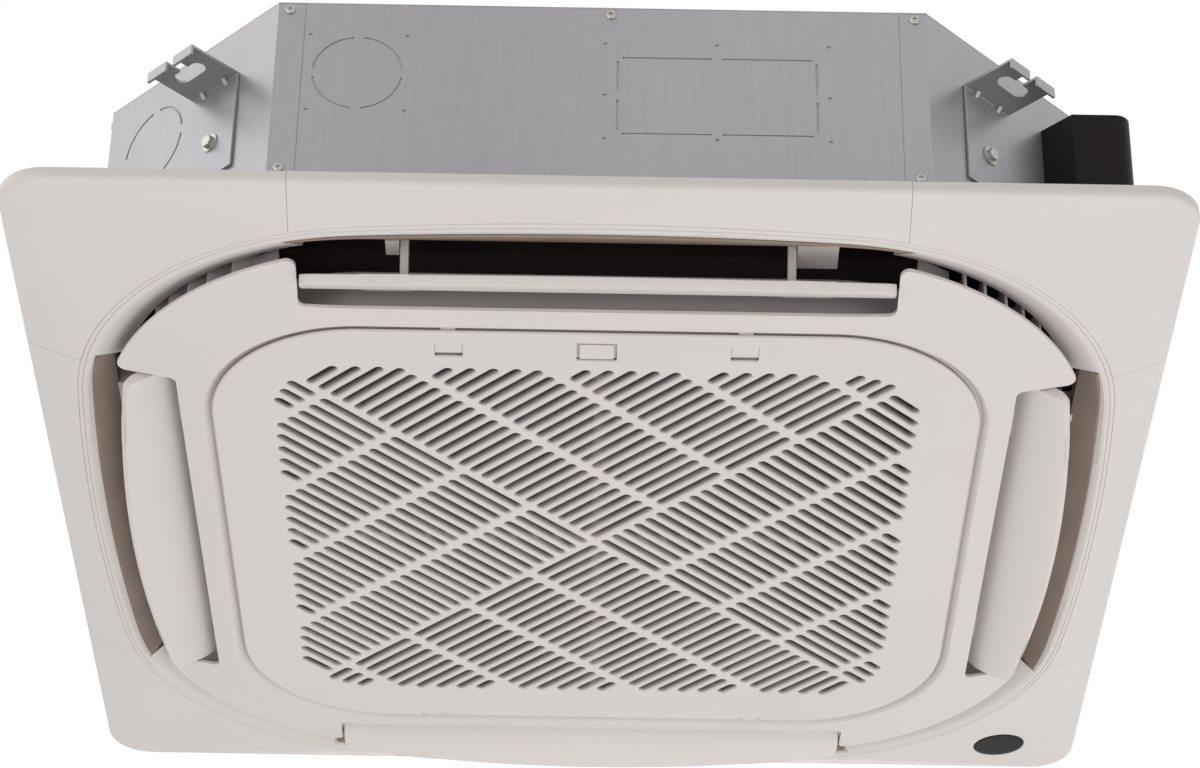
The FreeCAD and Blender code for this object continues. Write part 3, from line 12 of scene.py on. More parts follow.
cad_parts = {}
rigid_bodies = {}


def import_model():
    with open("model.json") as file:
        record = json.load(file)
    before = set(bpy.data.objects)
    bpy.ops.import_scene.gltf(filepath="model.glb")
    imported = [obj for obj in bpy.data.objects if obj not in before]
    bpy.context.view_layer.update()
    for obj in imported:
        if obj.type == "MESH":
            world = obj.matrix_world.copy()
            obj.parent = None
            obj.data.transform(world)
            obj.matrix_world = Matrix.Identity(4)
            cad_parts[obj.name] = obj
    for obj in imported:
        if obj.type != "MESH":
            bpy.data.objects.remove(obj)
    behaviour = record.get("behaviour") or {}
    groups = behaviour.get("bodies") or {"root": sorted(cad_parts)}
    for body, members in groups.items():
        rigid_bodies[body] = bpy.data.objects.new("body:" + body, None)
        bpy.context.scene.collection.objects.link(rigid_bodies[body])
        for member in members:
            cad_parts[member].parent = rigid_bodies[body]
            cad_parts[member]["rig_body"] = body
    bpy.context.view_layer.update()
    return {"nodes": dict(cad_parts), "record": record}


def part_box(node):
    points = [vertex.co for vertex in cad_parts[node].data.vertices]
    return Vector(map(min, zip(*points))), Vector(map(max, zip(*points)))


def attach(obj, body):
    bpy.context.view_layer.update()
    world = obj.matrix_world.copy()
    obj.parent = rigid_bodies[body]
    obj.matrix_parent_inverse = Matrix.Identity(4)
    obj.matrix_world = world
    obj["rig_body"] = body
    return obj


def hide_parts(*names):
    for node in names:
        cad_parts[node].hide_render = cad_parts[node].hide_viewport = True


bl_info = {
    "name": "Ceiling cassette finish",
    "version": (1, 0, 0),
    "blender": (4, 5, 0),
    "location": "View3D > Sidebar > Cassette",
    "description": "Builds the finished look of a ceiling cassette air conditioner round its CAD frame",
    "category": "Object",
}

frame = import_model()

MM = 0.001
UP = Vector((0.0, 0.0, 1.0))
OVERSHOOT = 1 * MM
SIDES = ("front", "right", "back", "left")
CORNERS = ("fr", "br", "bl", "fl")


def linear(red, green, blue):
    """A colour as it is seen on a screen, 0 to 255, turned into the linear values that shaders take."""
    def channel(value):
        share = value / 255
        return share / 12.92 if share <= 0.04045 else ((share + 0.055) / 1.055) ** 2.4
    return (channel(red), channel(green), channel(blue))


def colour(name, description, seen):
    return FloatVectorProperty(name=name, description=description, subtype="COLOR", size=3, min=0, max=1,
                               default=linear(*seen))


def length(name, description, millimetres):
    return FloatProperty(name=name, description=description, unit="LENGTH", default=millimetres * MM)


def number(name, description, value):
    return IntProperty(name=name, description=description, default=value)


class CassetteColours(bpy.types.PropertyGroup):
    """Colours of the unit's surfaces."""
    panel: colour("Panel", "Moulded plastic of the panel, louvers and grille", (214, 208, 205))
    liner: colour("Liner", "Lining of the flared outlets", (152, 136, 125))
    steel: colour("Steel", "Galvanised sheet of the casing", (174, 172, 175))
    zinc: colour("Zinc", "Plated screws and bolts", (190, 188, 184))
    black: colour("Black plastic", "Cover over the pipe corner", (26, 21, 20))
    pan: colour("Pan", "Dark foam of the drain pan", (58, 50, 47))
    window: colour("Window", "Smoked window of the receiver", (26, 21, 19))
    foam: colour("Foam", "White insulation", (226, 226, 222))
    fins: colour("Fins", "Aluminium fins of the coil", (196, 198, 200))
    copper: colour("Copper", "Refrigerant pipes", (190, 118, 82))
    brass: colour("Brass", "Flare connections", (196, 164, 98))
    fan: colour("Fan", "Fan wheel and inlet ring", (66, 66, 70))
    motor: colour("Motor", "Painted motor case", (112, 114, 116))
    net: colour("Net", "Filter net", (74, 74, 77))
    board: colour("Board", "Coated circuit board", (40, 92, 58))
    floor: colour("Floor", "Studio floor", (240, 240, 240))


class CassetteSizes(bpy.types.PropertyGroup):
    """Sizes of what is modelled here, the rest comes from the frame."""
    panel_half: length("Panel half", "Middle of the unit to the panel's edge", 475)
    panel_corner: length("Panel corner", "Radius of the panel's corners", 40)
    rim_edge: length("Rim edge", "Straight height of the panel's edge", 6)
    rim_inset: length("Rim inset", "How far the edge's rounding reaches in", 6.6)
    rim_depth: length("Rim depth", "Ceiling plane to the end of the edge's rounding", 11.5)
    rim_wall: length("Rim wall", "Width of the rim on the ceiling", 9)
    lip_depth: length("Lip depth", "Ceiling plane to the lip", 27.5)
    lip_land: length("Lip land", "Flat width beside the lip", 2.5)
    lip_rise: length("Lip rise", "How far the beads beside the lip lean up towards it", 0.5)
    flare_width: length("Flare width", "How far the flare reaches in from the lip at a corner", 29)
    throat_depth: length("Throat depth", "Ceiling plane to the foot of the outlets' straight walls", 10.5)
    collar_top: length("Collar top", "Height of the walls round the outlets", 9)
    collar_wall: length("Collar wall", "Thickness of the walls round the outlets", 4.5)
    collar_floor: length("Collar floor", "Ceiling plane to the foot of the walls' outer side", 6.5)
    back_depth: length("Back depth", "Ceiling plane to the hollow behind the lip", 22)
    back_grow: length("Back grow", "Lip to the hollow behind it", 6)
    outlet_half: length("Outlet half", "Half the width of an outlet", 252)
    outlet_outer: length("Outlet outer", "Middle of the unit to an outlet's outer wall", 405)
    cover_seam: length("Cover seam", "Middle of the unit to a corner cover's seam", 245)
    cover_lip_gap: length("Cover lip gap", "Lip to the edge of the corner covers", 9)
    cover_skin: length("Cover skin", "Thickness of the corner covers", 2.5)
    seam_gap: length("Seam gap", "Width of seams", 0.3)
    liner_half: length("Liner half", "Half the width of an outlet's lining", 248)
    liner_skin: length("Liner skin", "Thickness of the lining", 1.6)
    liner_top: length("Liner top", "Ceiling plane to the lining's upper edge", 8.5)
    ledge_half: length("Ledge half", "Middle of the unit to the ledge behind the grille's edge", 318.5)
    ledge_outer: length("Ledge outer", "Middle of the unit to the ledge's root", 323.6)
    ledge_low: length("Ledge low", "Ceiling plane to the ledge", 40.4)
    ledge_thick: length("Ledge thickness", "Thickness of the ledge", 1.6)
    vane_centre: length("Vane centre", "X and Y of the middle of the disc's round corners", 166)
    vane_outer: length("Vane outer", "Middle of a corner to the outer edge of its guide vanes", 236)
    vane_inner: length("Vane inner", "Middle of a corner to the inner edge of its guide vanes", 203)
    vane_skin: length("Vane skin", "Thickness of a guide vane", 2.4)
    vane_low: length("Vane low", "Ceiling plane to the foot of the guide vanes", 25)
    vane_high: length("Vane high", "Height of the guide vanes over the ceiling plane", 4)
    hinge_x: length("Hinge place", "Middle of the unit to a hinge of the grille", 150)
    hinge_y: length("Hinge line", "Middle of the unit to the axis of the hinges", 320.5)
    hinge_depth: length("Hinge depth", "Ceiling plane to the axis of the hinges", 39.8)
    hinge_pin: length("Hinge pin", "Radius of a hinge's pin", 1.8)
    pin_length: length("Pin length", "Length of a hinge's pin", 21.6)
    hook_width: length("Hook width", "Width of the grille's hooks", 10)
    hook_depth: length("Hook depth", "How far a hook reaches in from the hinges' axis", 9)
    ear_offset: length("Ear offset", "Middle of a hinge to the middle of its ears", 9)
    ear_room: length("Ear room", "Width of the notch round an ear", 4.4)
    ear_depth: length("Ear depth", "How far the notch reaches in from the hinges' axis", 4.5)
    latch_x: length("Catch place", "Middle of the unit to a catch, along the grille's edge", 121)
    latch_y: length("Catch row", "Middle of the unit to the row of the catches", 297.5)
    latch_window_x: length("Catch window width", "Width of the window round a catch", 23)
    latch_window_y: length("Catch window depth", "Depth of the window, with room to slide", 19)
    bury: length("Bury", "How far a joined form reaches into the next one", 0.5)
    hinge_room: length("Hinge room", "Room for a hinge in the ledge", 17)
    lip_half: length("Lip half", "Middle of the unit to the lip, at the middle of a side", 435)
    lip_side_radius: length("Lip side radius", "Radius of the lip's flat arcs", 2450)
    lip_diagonal: length("Lip diagonal", "X and Y of the lip on the diagonal", 355)
    face_depth: length("Face depth", "Ceiling plane to the face of the grille", 46)
    grille_half: length("Grille half", "Middle of the unit to the grille's edge", 322)
    grille_corner: length("Grille corner", "Radius of the grille's corners", 130)
    grille_round: length("Grille round", "Rounding of the grille's edge", 2.4)
    grille_skin: length("Grille skin", "Thickness of the grille's border", 3)
    bar_depth: length("Bar depth", "Depth of the grille's bars", 8)
    field_half: length("Field half", "Middle of the unit to the end of the slots", 269)
    field_corner: length("Field corner", "Radius of the slotted field's corners", 60)
    field_margin: length("Field margin", "Deep border round the slotted field", 7)
    slot_pitch: length("Slot pitch", "Distance between neighbouring slots", 13.4)
    slot_width: length("Slot width", "Width of a slot at its throat", 7.6)
    slot_round: length("Slot round", "Rounding of the bars beside a slot", 2.2)
    slot_shortest: length("Shortest slot", "Shorter slots are left out", 12)
    rib_width: length("Rib width", "Width of the ribs across the slots", 8)
    edge: length("Edge", "Rounding of moulded edges", 0.7)
    sheet_edge: length("Sheet edge", "Rounding of sheet metal edges", 0.3)
    louver_half: length("Louver half", "Half the length of a louver", 238.5)
    louver_inner: length("Louver inner", "Middle of the unit to a closed louver's inner edge", 358.5)
    louver_outer: length("Louver outer", "Middle of the unit to the middle of its outer edge", 432)
    louver_bow: length("Louver bow", "How far the outer edge bows out", 17)
    louver_round: length("Louver round", "Rounding of a louver's outer corners", 10)
    louver_skin: length("Louver skin", "Thickness of a louver's blade", 2.6)
    louver_flange: length("Louver flange", "Height of a louver's outer edge", 9)
    louver_fold: length("Louver fold", "Middle of the unit to the fold along the blade", 381)
    louver_bend: length("Louver bend", "How far the fold's rounding reaches to either side", 5)
    fold_step: length("Fold step", "Distance between the points that round the fold", 2)
    louver_lean: FloatProperty(name="Louver lean", default=0.34,
                               description="How steeply the blade rises inside its fold")
    pivot_out: length("Pivot out", "Middle of the unit to a louver's pivot", 398)
    pivot_up: length("Pivot up", "Ceiling plane to a louver's pivot", 2)
    arm_from: length("Arm from", "Middle of a side to the inner end of a louver's arm", 150)
    arm_to: length("Arm to", "Middle of a side to the end of its pin", 190)
    screw_radius: length("Screw radius", "Radius of a casing screw's head", 4.5)
    screw_high: length("Screw height", "Height of a casing screw's head", 2.2)
    louver_open: FloatProperty(name="Louver angle", description="How far the louvers are open at rest",
                               subtype="ANGLE", default=math.radians(30))
    rib_pitches: number("Slots per bay", "Pitches of slots between two ribs", 6)
    slot_steps: number("Slot end steps", "Steps round the end of a slot", 7)
    round_steps: number("Rounding steps", "Steps across a rounded edge", 4)
    corner_steps: number("Corner steps", "Steps round a corner of the grille", 24)
    field_steps: number("Field steps", "Steps round a corner of the slotted field", 12)
    mouth_steps: number("Mouth steps", "Steps along an outlet", 40)
    cover_steps: number("Cover steps", "Steps along half a corner cover", 40)
    ledge_steps: number("Ledge steps", "Steps along a side of the ledge behind the grille", 60)
    ledge_corner_steps: number("Ledge corner steps", "Steps round a corner of that ledge", 16)
    ring_steps: number("Ring steps", "Steps round screws and pins", 24)
    window_steps: number("Window steps", "Steps round the receiver's window", 64)


def sizes():
    return bpy.context.scene.cassette_sizes


def colours():
    return bpy.context.scene.cassette_colours


class Value:
    """A shader socket that takes part in Python arithmetic."""

    def __init__(self, shader, socket):
        self.shader = shader
        self.socket = socket

    def math(self, operation, first, second):
        return self.shader.node("ShaderNodeMath", {"operation": operation}, {0: first, 1: second})

    def __add__(self, other):
        return self.math("ADD", self, other)

    def __sub__(self, other):
        return self.math("SUBTRACT", self, other)

    def __rsub__(self, other):
        return self.math("SUBTRACT", other, self)

    def __mul__(self, other):
        return self.math("MULTIPLY", self, other)

    __radd__ = __add__
    __rmul__ = __mul__


class Shader:
    """A material under construction."""

    def __init__(self, name, owner=None):
        self.material = owner or bpy.data.materials.new(name)
        self.material.use_nodes = True
        self.tree = self.material.node_tree
        self.tree.nodes.clear()

    def node(self, kind, settings=None, inputs=None, output=0):
        """A node of that kind, its settings made first, then its sockets' values and links."""
        made = self.tree.nodes.new(kind)
        for key, value in (settings or {}).items():
            if key == "stops":
                for element, (position, grey) in zip(made.color_ramp.elements, value):
                    element.position = position
                    element.color = (grey, grey, grey, 1)
            else:
                setattr(made, key, value)
        for key, value in (inputs or {}).items():
            if isinstance(value, Value):
                self.tree.links.new(value.socket, made.inputs[key])
            else:
                made.inputs[key].default_value = value
        return Value(self, made.outputs[output]) if made.outputs else None

    def place(self, stretch=(1, 1, 1)):
        """The point on the object, in metres, stretched along its axes."""
        point = self.node("ShaderNodeTexCoord", output="Object")
        return self.node("ShaderNodeMapping", None, {"Vector": point, "Scale": stretch})

    def noise(self, scale, detail=3.0, stretch=(1, 1, 1)):
        return self.node("ShaderNodeTexNoise", None,
                         {"Vector": self.place(stretch), "Scale": scale, "Detail": detail})

    def band(self, value, low, high):
        """0 below low, 1 above high."""
        return self.node("ShaderNodeMapRange", None, {"Value": value, "From Min": low, "From Max": high})

    def mix(self, factor, first, second):
        return self.node("ShaderNodeMix", {"data_type": "RGBA"},
                         {0: factor, 6: (*first, 1) if isinstance(first, tuple) else first,
                          7: (*second, 1) if isinstance(second, tuple) else second}, output=2)

    def bump(self, height, distance, strength=1.0):
        sockets = {"Height": height, "Distance": distance, "Strength": strength}
        return self.node("ShaderNodeBump", None, sockets)

    def surface(self, **inputs):
        """The finished surface; underscores in the names stand for spaces."""
        sockets = {key.replace("_", " "): value for key, value in inputs.items()}
        shaded = self.node("ShaderNodeBsdfPrincipled", None, sockets)
        self.node("ShaderNodeOutputMaterial", None, {"Surface": shaded})
        return self.material


def shade(tint, share):
    return tuple(channel * share for channel in tint)


def moulded(name, tint, roughness, grain=2600.0, depth=0.00006, gloss=0.35):
    """Moulded plastic: faint clouds in its colour, and a fine grain."""
    tint = tuple(tint)
    shader = Shader(name)
    clouds = shader.band(shader.noise(5.0, 2.0), 0.35, 0.65)
    fine = shader.noise(grain, 2.0)
    rough = roughness + 0.08 * fine
    return shader.surface(Base_Color=shader.mix(clouds, shade(tint, 0.985), tint), Roughness=rough,
                          Specular_IOR_Level=gloss, Normal=shader.bump(fine, depth, 0.5))


def galvanised(name, tint, roughness):
    """Galvanised sheet: soft spangle, fine rolling lines up the sheet, cloudy patches, and broad light and
    dark patches that are partly the sheet's uneven tone and partly painted reflection of the studio.
    """
    tint = tuple(tint)
    shader = Shader(name)
    spangle = shader.node("ShaderNodeTexVoronoi", None, {"Vector": shader.place(), "Scale": 90.0},
                          output="Color")
    lines = shader.noise(18.0, 4.0, (30.0, 30.0, 0.6))
    patches = shader.noise(6.0, 3.0)
    grey = shader.node("ShaderNodeRGBToBW", None, {"Color": spangle})
    # Broad light and dark patches: partly the sheet's own uneven tone, partly painted reflection standing
    # in for the studio mirrored on the plates.
    broad_tone_and_painted_reflection = shader.noise(2.6, 1.0, (1.0, 1.0, 0.5))
    tone_and_painted_reflection = 0.08 * grey + 0.34 * lines + 0.08 * patches + 0.5 * broad_tone_and_painted_reflection
    base = shader.mix(shader.band(tone_and_painted_reflection, 0.3, 0.7), shade(tint, 0.8), tint)
    rough = roughness + 0.10 * patches + 0.05 * grey
    return shader.surface(Base_Color=base, Metallic=0.7, Roughness=rough,
                          Normal=shader.bump(lines, 0.00003, 0.4))


def plated(name, tint, roughness):
    """Plated or drawn metal with fine wear."""
    tint = tuple(tint)
    shader = Shader(name)
    wear = shader.noise(400.0, 3.0)
    base = shader.mix(shader.band(wear, 0.35, 0.7), shade(tint, 0.8), tint)
    return shader.surface(Base_Color=base, Metallic=1.0, Roughness=roughness + 0.15 * wear)


def napped(name, tint):
    """A short felted lining."""
    tint = tuple(tint)
    shader = Shader(name)
    fibres = shader.noise(900.0, 4.0)
    clouds = shader.noise(22.0, 3.0)
    base = shader.mix(shader.band(clouds, 0.3, 0.7), shade(tint, 0.86), tint)
    return shader.surface(Base_Color=base, Roughness=0.92, Specular_IOR_Level=0.1,
                          Normal=shader.bump(fibres, 0.0004, 0.6))


def beaded(name, tint):
    """Expanded foam with the marks of its beads."""
    tint = tuple(tint)
    shader = Shader(name)
    beads = shader.node("ShaderNodeTexVoronoi", None, {"Vector": shader.place(), "Scale": 320.0})
    base = shader.mix(shader.band(beads, 0.0, 0.6), tint, shade(tint, 0.86))
    return shader.surface(Base_Color=base, Roughness=0.85, Specular_IOR_Level=0.1,
                          Normal=shader.bump(1 - beads, 0.0004, 0.5))


def finned(name, tint):
    """A stack of thin fins, with painted shade darkening the gaps between them."""
    tint = tuple(tint)
    shader = Shader(name)
    fins = shader.node("ShaderNodeTexWave", {"wave_type": "BANDS", "bands_direction": "DIAGONAL"},
                       {"Vector": shader.place((1, 1, 0)), "Scale": 120.0, "Distortion": 0.0})
    # The darker bands are painted shade in the gaps between the fins.
    base = shader.mix(fins, shade(tint, 0.45), tint)
    return shader.surface(Base_Color=base, Metallic=0.9, Roughness=0.4, Normal=shader.bump(fins, 0.0006))


def woven(name, tint):
    """A fine net."""
    tint = tuple(tint)
    shader = Shader(name)
    weave = [shader.node("ShaderNodeTexWave", {"bands_direction": way},
                         {"Vector": shader.place(), "Scale": 260.0}) for way in ("X", "Y")]
    threads = weave[0] * 0.5 + weave[1] * 0.5
    base = shader.mix(threads, shade(tint, 0.35), tint)
    return shader.surface(Base_Color=base, Roughness=0.8, Normal=shader.bump(threads, 0.0003))


def glossy(name, tint):
    """A smoked, polished window."""
    tint = tuple(tint)
    shader = Shader(name)
    haze = shader.noise(60.0, 2.0)
    return shader.surface(Base_Color=shader.mix(haze, tint, shade(tint, 0.8)), Roughness=0.3 + 0.05 * haze,
                          Specular_IOR_Level=0.06)


finishes = {}


def finish(slot):
    """The finish of one of the record's material slots."""
    if slot not in finishes:
        tints = colours()
        makers = {
            "panel_plastic": lambda: moulded("panel_plastic", tints.panel, 0.42),
            "liner_felt": lambda: napped("liner_felt", tints.liner),
            "galvanised": lambda: galvanised("galvanised", tints.steel, 0.34),
            "zinc_fastener": lambda: plated("zinc_fastener", tints.zinc, 0.26),
            "black_plastic": lambda: moulded("black_plastic", tints.black, 0.4, 1500.0, 0.0001, 0.12),
            "white_foam": lambda: beaded("white_foam", tints.foam),
            "dark_foam": lambda: beaded("dark_foam", tints.pan),
            "fin_aluminium": lambda: finned("fin_aluminium", tints.fins),
            "copper_pipe": lambda: plated("copper_pipe", tints.copper, 0.3),
            "brass_pipe": lambda: plated("brass_pipe", tints.brass, 0.28),
            "motor_metal": lambda: moulded("motor_metal", tints.motor, 0.45, 900.0),
            "steel": lambda: plated("steel", tints.zinc, 0.2),
            "fan_plastic": lambda: moulded("fan_plastic", tints.fan, 0.5),
            "net": lambda: woven("net", tints.net),
            "board": lambda: moulded("board", tints.board, 0.3),
            "window_dark": lambda: glossy("window_dark", tints.window),
        }
        finishes[slot] = makers[slot]()
    return finishes[slot]


def node_slot(node):
    for subpart in frame["record"]["subparts"]:
        if subpart["node"] == node:
            return subpart["material_slot"]
    raise ValueError("the record has no node " + node)


def body_of(node):
    return frame["nodes"][node]["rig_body"]


def paint(obj, slot):
    obj.data.materials.clear()
    obj.data.materials.append(finish(slot))


def dress(obj, body, slot, *nodes):
    """Give a piece its finish and the body that it rides on, and hide the nodes that it stands for."""
    paint(obj, slot)
    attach(obj, body)
    if nodes:
        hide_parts(*nodes)
    return obj


SHARP = math.radians(35)


def piece(name, bm):
    """An object made of a bmesh, smooth but for its sharp edges."""
    bmesh.ops.recalc_face_normals(bm, faces=bm.faces)
    for edge in bm.edges:
        edge.smooth = len(edge.link_faces) == 2 and edge.calc_face_angle() < SHARP
    mesh = bpy.data.meshes.new(name)
    bm.to_mesh(mesh)
    bm.free()
    for polygon in mesh.polygons:
        polygon.use_smooth = True
    obj = bpy.data.objects.new(name, mesh)
    bpy.context.scene.collection.objects.link(obj)
    return obj


def even_shading(obj):
    """Keep flat faces flat where they run into roundings."""
    weighted = obj.modifiers.new("even shading", "WEIGHTED_NORMAL")
    weighted.weight = 100
    return obj


def rounded(obj, width, segments=2):
    """Round the sharp edges of a piece."""
    for edge in obj.data.edges:
        edge.use_edge_sharp = False
    bevel = obj.modifiers.new("rounded edges", "BEVEL")
    bevel.width = width
    bevel.segments = segments
    bevel.limit_method = "ANGLE"
    bevel.angle_limit = SHARP
    return even_shading(obj)


WELD = 1e-6
COPLANAR = math.radians(0.05)


def softened(node, width, segments=2):
    """A CAD piece with its edges rounded, in its own finish."""
    bm = bmesh.new()
    bm.from_mesh(frame["nodes"][node].data)
    bmesh.ops.remove_doubles(bm, verts=bm.verts, dist=WELD)
    bmesh.ops.dissolve_limit(bm, angle_limit=COPLANAR, verts=bm.verts, edges=bm.edges)
    obj = piece(node + "_finish", bm)
    rounded(obj, width, segments)
    return dress(obj, body_of(node), node_slot(node), node)


def quarter_turn(turn):
    """The rotation that brings the front to another side."""
    return Matrix.Rotation(math.radians(90 * turn), 3, "Z")


def corner_point(flat, radius, angle, z):
    """A point on the round corner between the front and the right side."""
    return Vector((flat + radius * math.cos(angle), -flat + radius * math.sin(angle), z))


def loop_of(bm, points):
    return [bm.verts.new(point) for point in points]


def bridge(bm, first, second):
    """Quads between two closed loops of as many vertices."""
    count = len(first)
    for index in range(count):
        after = (index + 1) % count
        bm.faces.new((first[index], first[after], second[after], second[index]))


def tube(bm, loops):
    """Quads between neighbouring loops."""
    for first, second in zip(loops, loops[1:]):
        bridge(bm, first, second)


def fill(bm, outer, holes):
    """A flat face between an outer loop and the loops of its holes."""
    loops = [outer] + holes
    verts = [vert for loop in loops for vert in loop]
    edges = []
    start = 0
    for loop in loops:
        count = len(loop)
        edges += [(start + n, start + (n + 1) % count) for n in range(count)]
        start += count
    flat = [vert.co.xy for vert in verts]
    made = delaunay_2d_cdt(flat, edges, [], 0, 1e-7)
    points, faces, origins = made[0], made[2], made[3]
    inside = [vert_ids for vert_ids in faces if kept(points, vert_ids, outer, holes)]
    for vert_ids in inside:
        corners = [verts[origins[index][0]] for index in vert_ids]
        bm.faces.new(corners)


def within(point, loop):
    """Whether a point lies inside a closed loop, seen from above."""
    odd = False
    x, y = point
    before = loop[-1].co
    for vert in loop:
        here = vert.co
        if (here.y > y) != (before.y > y):
            if x < (before.x - here.x) * (y - here.y) / (before.y - here.y) + here.x:
                odd = not odd
        before = here
    return odd


def kept(points, vert_ids, outer, holes):
    """Whether a triangle of the filling lies in the face and not in one of its holes."""
    middle = sum((Vector(points[index]) for index in vert_ids), Vector((0, 0))) / len(vert_ids)
    if not within(middle, outer):
        return False
    for hole in holes:
        centre = hole[0].co.xy
        far = max((vert.co.xy - centre).length for vert in hole)
        if (middle - centre).length <= far and within(middle, hole):
            return False
    return True


def square_points(half, corner, z, steps):
    """A square outline with round corners."""
    points = []
    flat = half - corner
    for turn in range(4):
        spin = quarter_turn(turn)
        for step in range(steps + 1):
            angle = math.radians(-90 + 90 * step / steps)
            points.append(spin @ corner_point(flat, corner, angle, z))
    return points


def slot_points(start, stop, half_width, z, steps):
    """The outline of a slot with round ends; half_width reaches past its centre line's ends."""
    along = (stop - start).normalized()
    across = Vector((-along.y, along.x, 0))
    tip = sizes().slot_width / 2
    points = []
    for centre, way in ((stop - along * tip, 1), (start + along * tip, -1)):
        for step in range(steps + 1):
            angle = math.radians(90 - 180 * step / steps)
            offset = (along * math.cos(angle) + across * math.sin(angle)) * way * half_width
            points.append(centre + offset + Vector((0, 0, z)))
    return points


def in_field(point):
    """Whether a point lies in the slotted field."""
    corner = sizes().field_corner
    flat = sizes().field_half - corner
    reach = Vector((max(abs(point.x) - flat, 0), max(abs(point.y) - flat, 0)))
    return reach.length <= corner


def slot_spans():
    """Centre lines of the slots: four quarters of parallel slots, each turned from the last."""
    values = sizes()
    pitch = values.slot_pitch
    bay_length = values.rib_pitches * pitch
    gap = values.rib_width / 2
    reach = values.field_half * math.sqrt(2)
    samples = int((bay_length - 2 * gap) / (values.slot_width / 4))
    spans = []
    for quarter in range(4):
        spin = quarter_turn(quarter)
        along = spin @ Vector((1, -1, 0)).normalized()
        back = spin @ Vector((-1, -1, 0)).normalized()
        for row in range(int(reach / pitch)):
            offset = back * ((row + 0.5) * pitch)
            for bay in range(int(reach / bay_length) + 1):
                run = [offset + along * (bay * bay_length + gap + (bay_length - 2 * gap) * n / samples)
                       for n in range(samples + 1)]
                run = [point for point in run if in_field(point)]
                if len(run) > 1 and (run[-1] - run[0]).length >= values.slot_shortest:
                    spans.append((run[0], run[-1]))
    return spans


def rectangle_points(low, high, z):
    return [Vector((low.x, low.y, z)), Vector((high.x, low.y, z)),
            Vector((high.x, high.y, z)), Vector((low.x, high.y, z))]


def block(bm, low, high):
    """Add a box between two corners."""
    place = Matrix.Translation((low + high) / 2) @ Matrix.Diagonal((*(high - low), 1))
    bmesh.ops.create_cube(bm, size=1, matrix=place)


def carved(bm, room):
    """A mesh with another one cut out of it."""
    solid = piece("solid", bm)
    cutter = piece("room", room)
    cut = solid.modifiers.new("room", "BOOLEAN")
    cut.object = cutter
    graph = bpy.context.evaluated_depsgraph_get()
    result = bmesh.new()
    result.from_object(solid, graph)
    for obj in (solid, cutter):
        mesh = obj.data
        bpy.data.objects.remove(obj)
        bpy.data.meshes.remove(mesh)
    return result


def rounding(radius, steps):
    """Pairs of inset and rise along a quarter round, from the face to the wall."""
    quarter = [math.radians(90 * step / steps) for step in range(steps + 1)]
    return [(radius * (1 - math.sin(a)), radius * (1 - math.cos(a))) for a in quarter]


class CASSETTE_OT_grille(bpy.types.Operator):
    """The intake grille: rounded bars in a pinwheel, a rounded border, and windows for its catches"""
    bl_idname = "cassette.grille"
    bl_label = "Intake grille"

    def execute(self, context):
        values = sizes()
        face = -values.face_depth
        skin = face + values.grille_skin
        top = face + values.bar_depth
        bm = bmesh.new()
        edge_loops = []
        for inset, rise in rounding(values.grille_round, values.round_steps) + [(0, values.grille_skin)]:
            outline = square_points(values.grille_half - inset, values.grille_corner - inset, face + rise,
                                    values.corner_steps)
            edge_loops.append(loop_of(bm, outline))
        tube(bm, edge_loops)
        fronts = []
        backs = []
        for start, stop in slot_spans():
            walls = []
            for inset, rise in rounding(values.slot_round, values.round_steps) + [(0, values.bar_depth)]:
                outline = slot_points(start, stop, values.slot_width / 2 + inset, face + rise,
                                      values.slot_steps)
                walls.append(loop_of(bm, outline))
            tube(bm, walls)
            fronts.append(walls[0])
            backs.append(walls[-1])
        border_holes = []
        for node in ("grille_latch_left", "grille_screw_cap", "grille_latch_right"):
            low, high = window_box(node)
            front = loop_of(bm, rectangle_points(low, high, face))
            back = loop_of(bm, rectangle_points(low, high, skin))
            bridge(bm, front, back)
            fronts.append(front)
            border_holes.append(back)
        deep_half = values.field_half + values.field_margin
        deep_corner = values.field_corner + values.field_margin
        deep_low = loop_of(bm, square_points(deep_half, deep_corner, skin, values.field_steps))
        deep_high = loop_of(bm, square_points(deep_half, deep_corner, top, values.field_steps))
        bridge(bm, deep_low, deep_high)
        fill(bm, edge_loops[0], fronts)
        fill(bm, edge_loops[-1], border_holes + [deep_low])
        fill(bm, deep_high, backs)
        obj = even_shading(piece("slotted_grille", carved(bm, self.notches())))
        dress(obj, body_of("intake_grille"), "panel_plastic", "intake_grille")
        hooks = rounded(piece("grille_hooks", self.hooks()), values.edge / 2)
        dress(hooks, body_of("intake_grille"), "panel_plastic", "intake_grille")
        return {"FINISHED"}

    def notches(self):
        """The room that the hinges' ears need in the grille's edge."""
        values = sizes()
        bm = bmesh.new()
        for x in (-values.hinge_x, values.hinge_x):
            for ear in (x - values.ear_offset, x + values.ear_offset):
                low = Vector((ear - values.ear_room / 2, values.hinge_y - values.ear_depth,
                              -values.face_depth - OVERSHOOT))
                high = Vector((ear + values.ear_room / 2, values.grille_half + OVERSHOOT,
                               values.grille_skin - values.face_depth + OVERSHOOT))
                block(bm, low, high)
        return bm

    def hooks(self):
        """The grille's hooks with their pins."""
        values = sizes()
        bm = bmesh.new()
        for x in (-values.hinge_x, values.hinge_x):
            low = Vector((x - values.hook_width / 2, values.hinge_y - values.hook_depth,
                          values.grille_skin - values.face_depth - values.bury))
            high = Vector((x + values.hook_width / 2, values.hinge_y + values.hinge_pin / 2,
                           values.hinge_pin - values.hinge_depth))
            block(bm, low, high)
            place = Matrix.Translation((x, values.hinge_y, -values.hinge_depth))
            bmesh.ops.create_cone(bm, cap_ends=True, segments=values.ring_steps, radius1=values.hinge_pin,
                                  radius2=values.hinge_pin, depth=values.pin_length,
                                  matrix=place @ Matrix.Rotation(math.radians(90), 4, "Y"))
        return bm


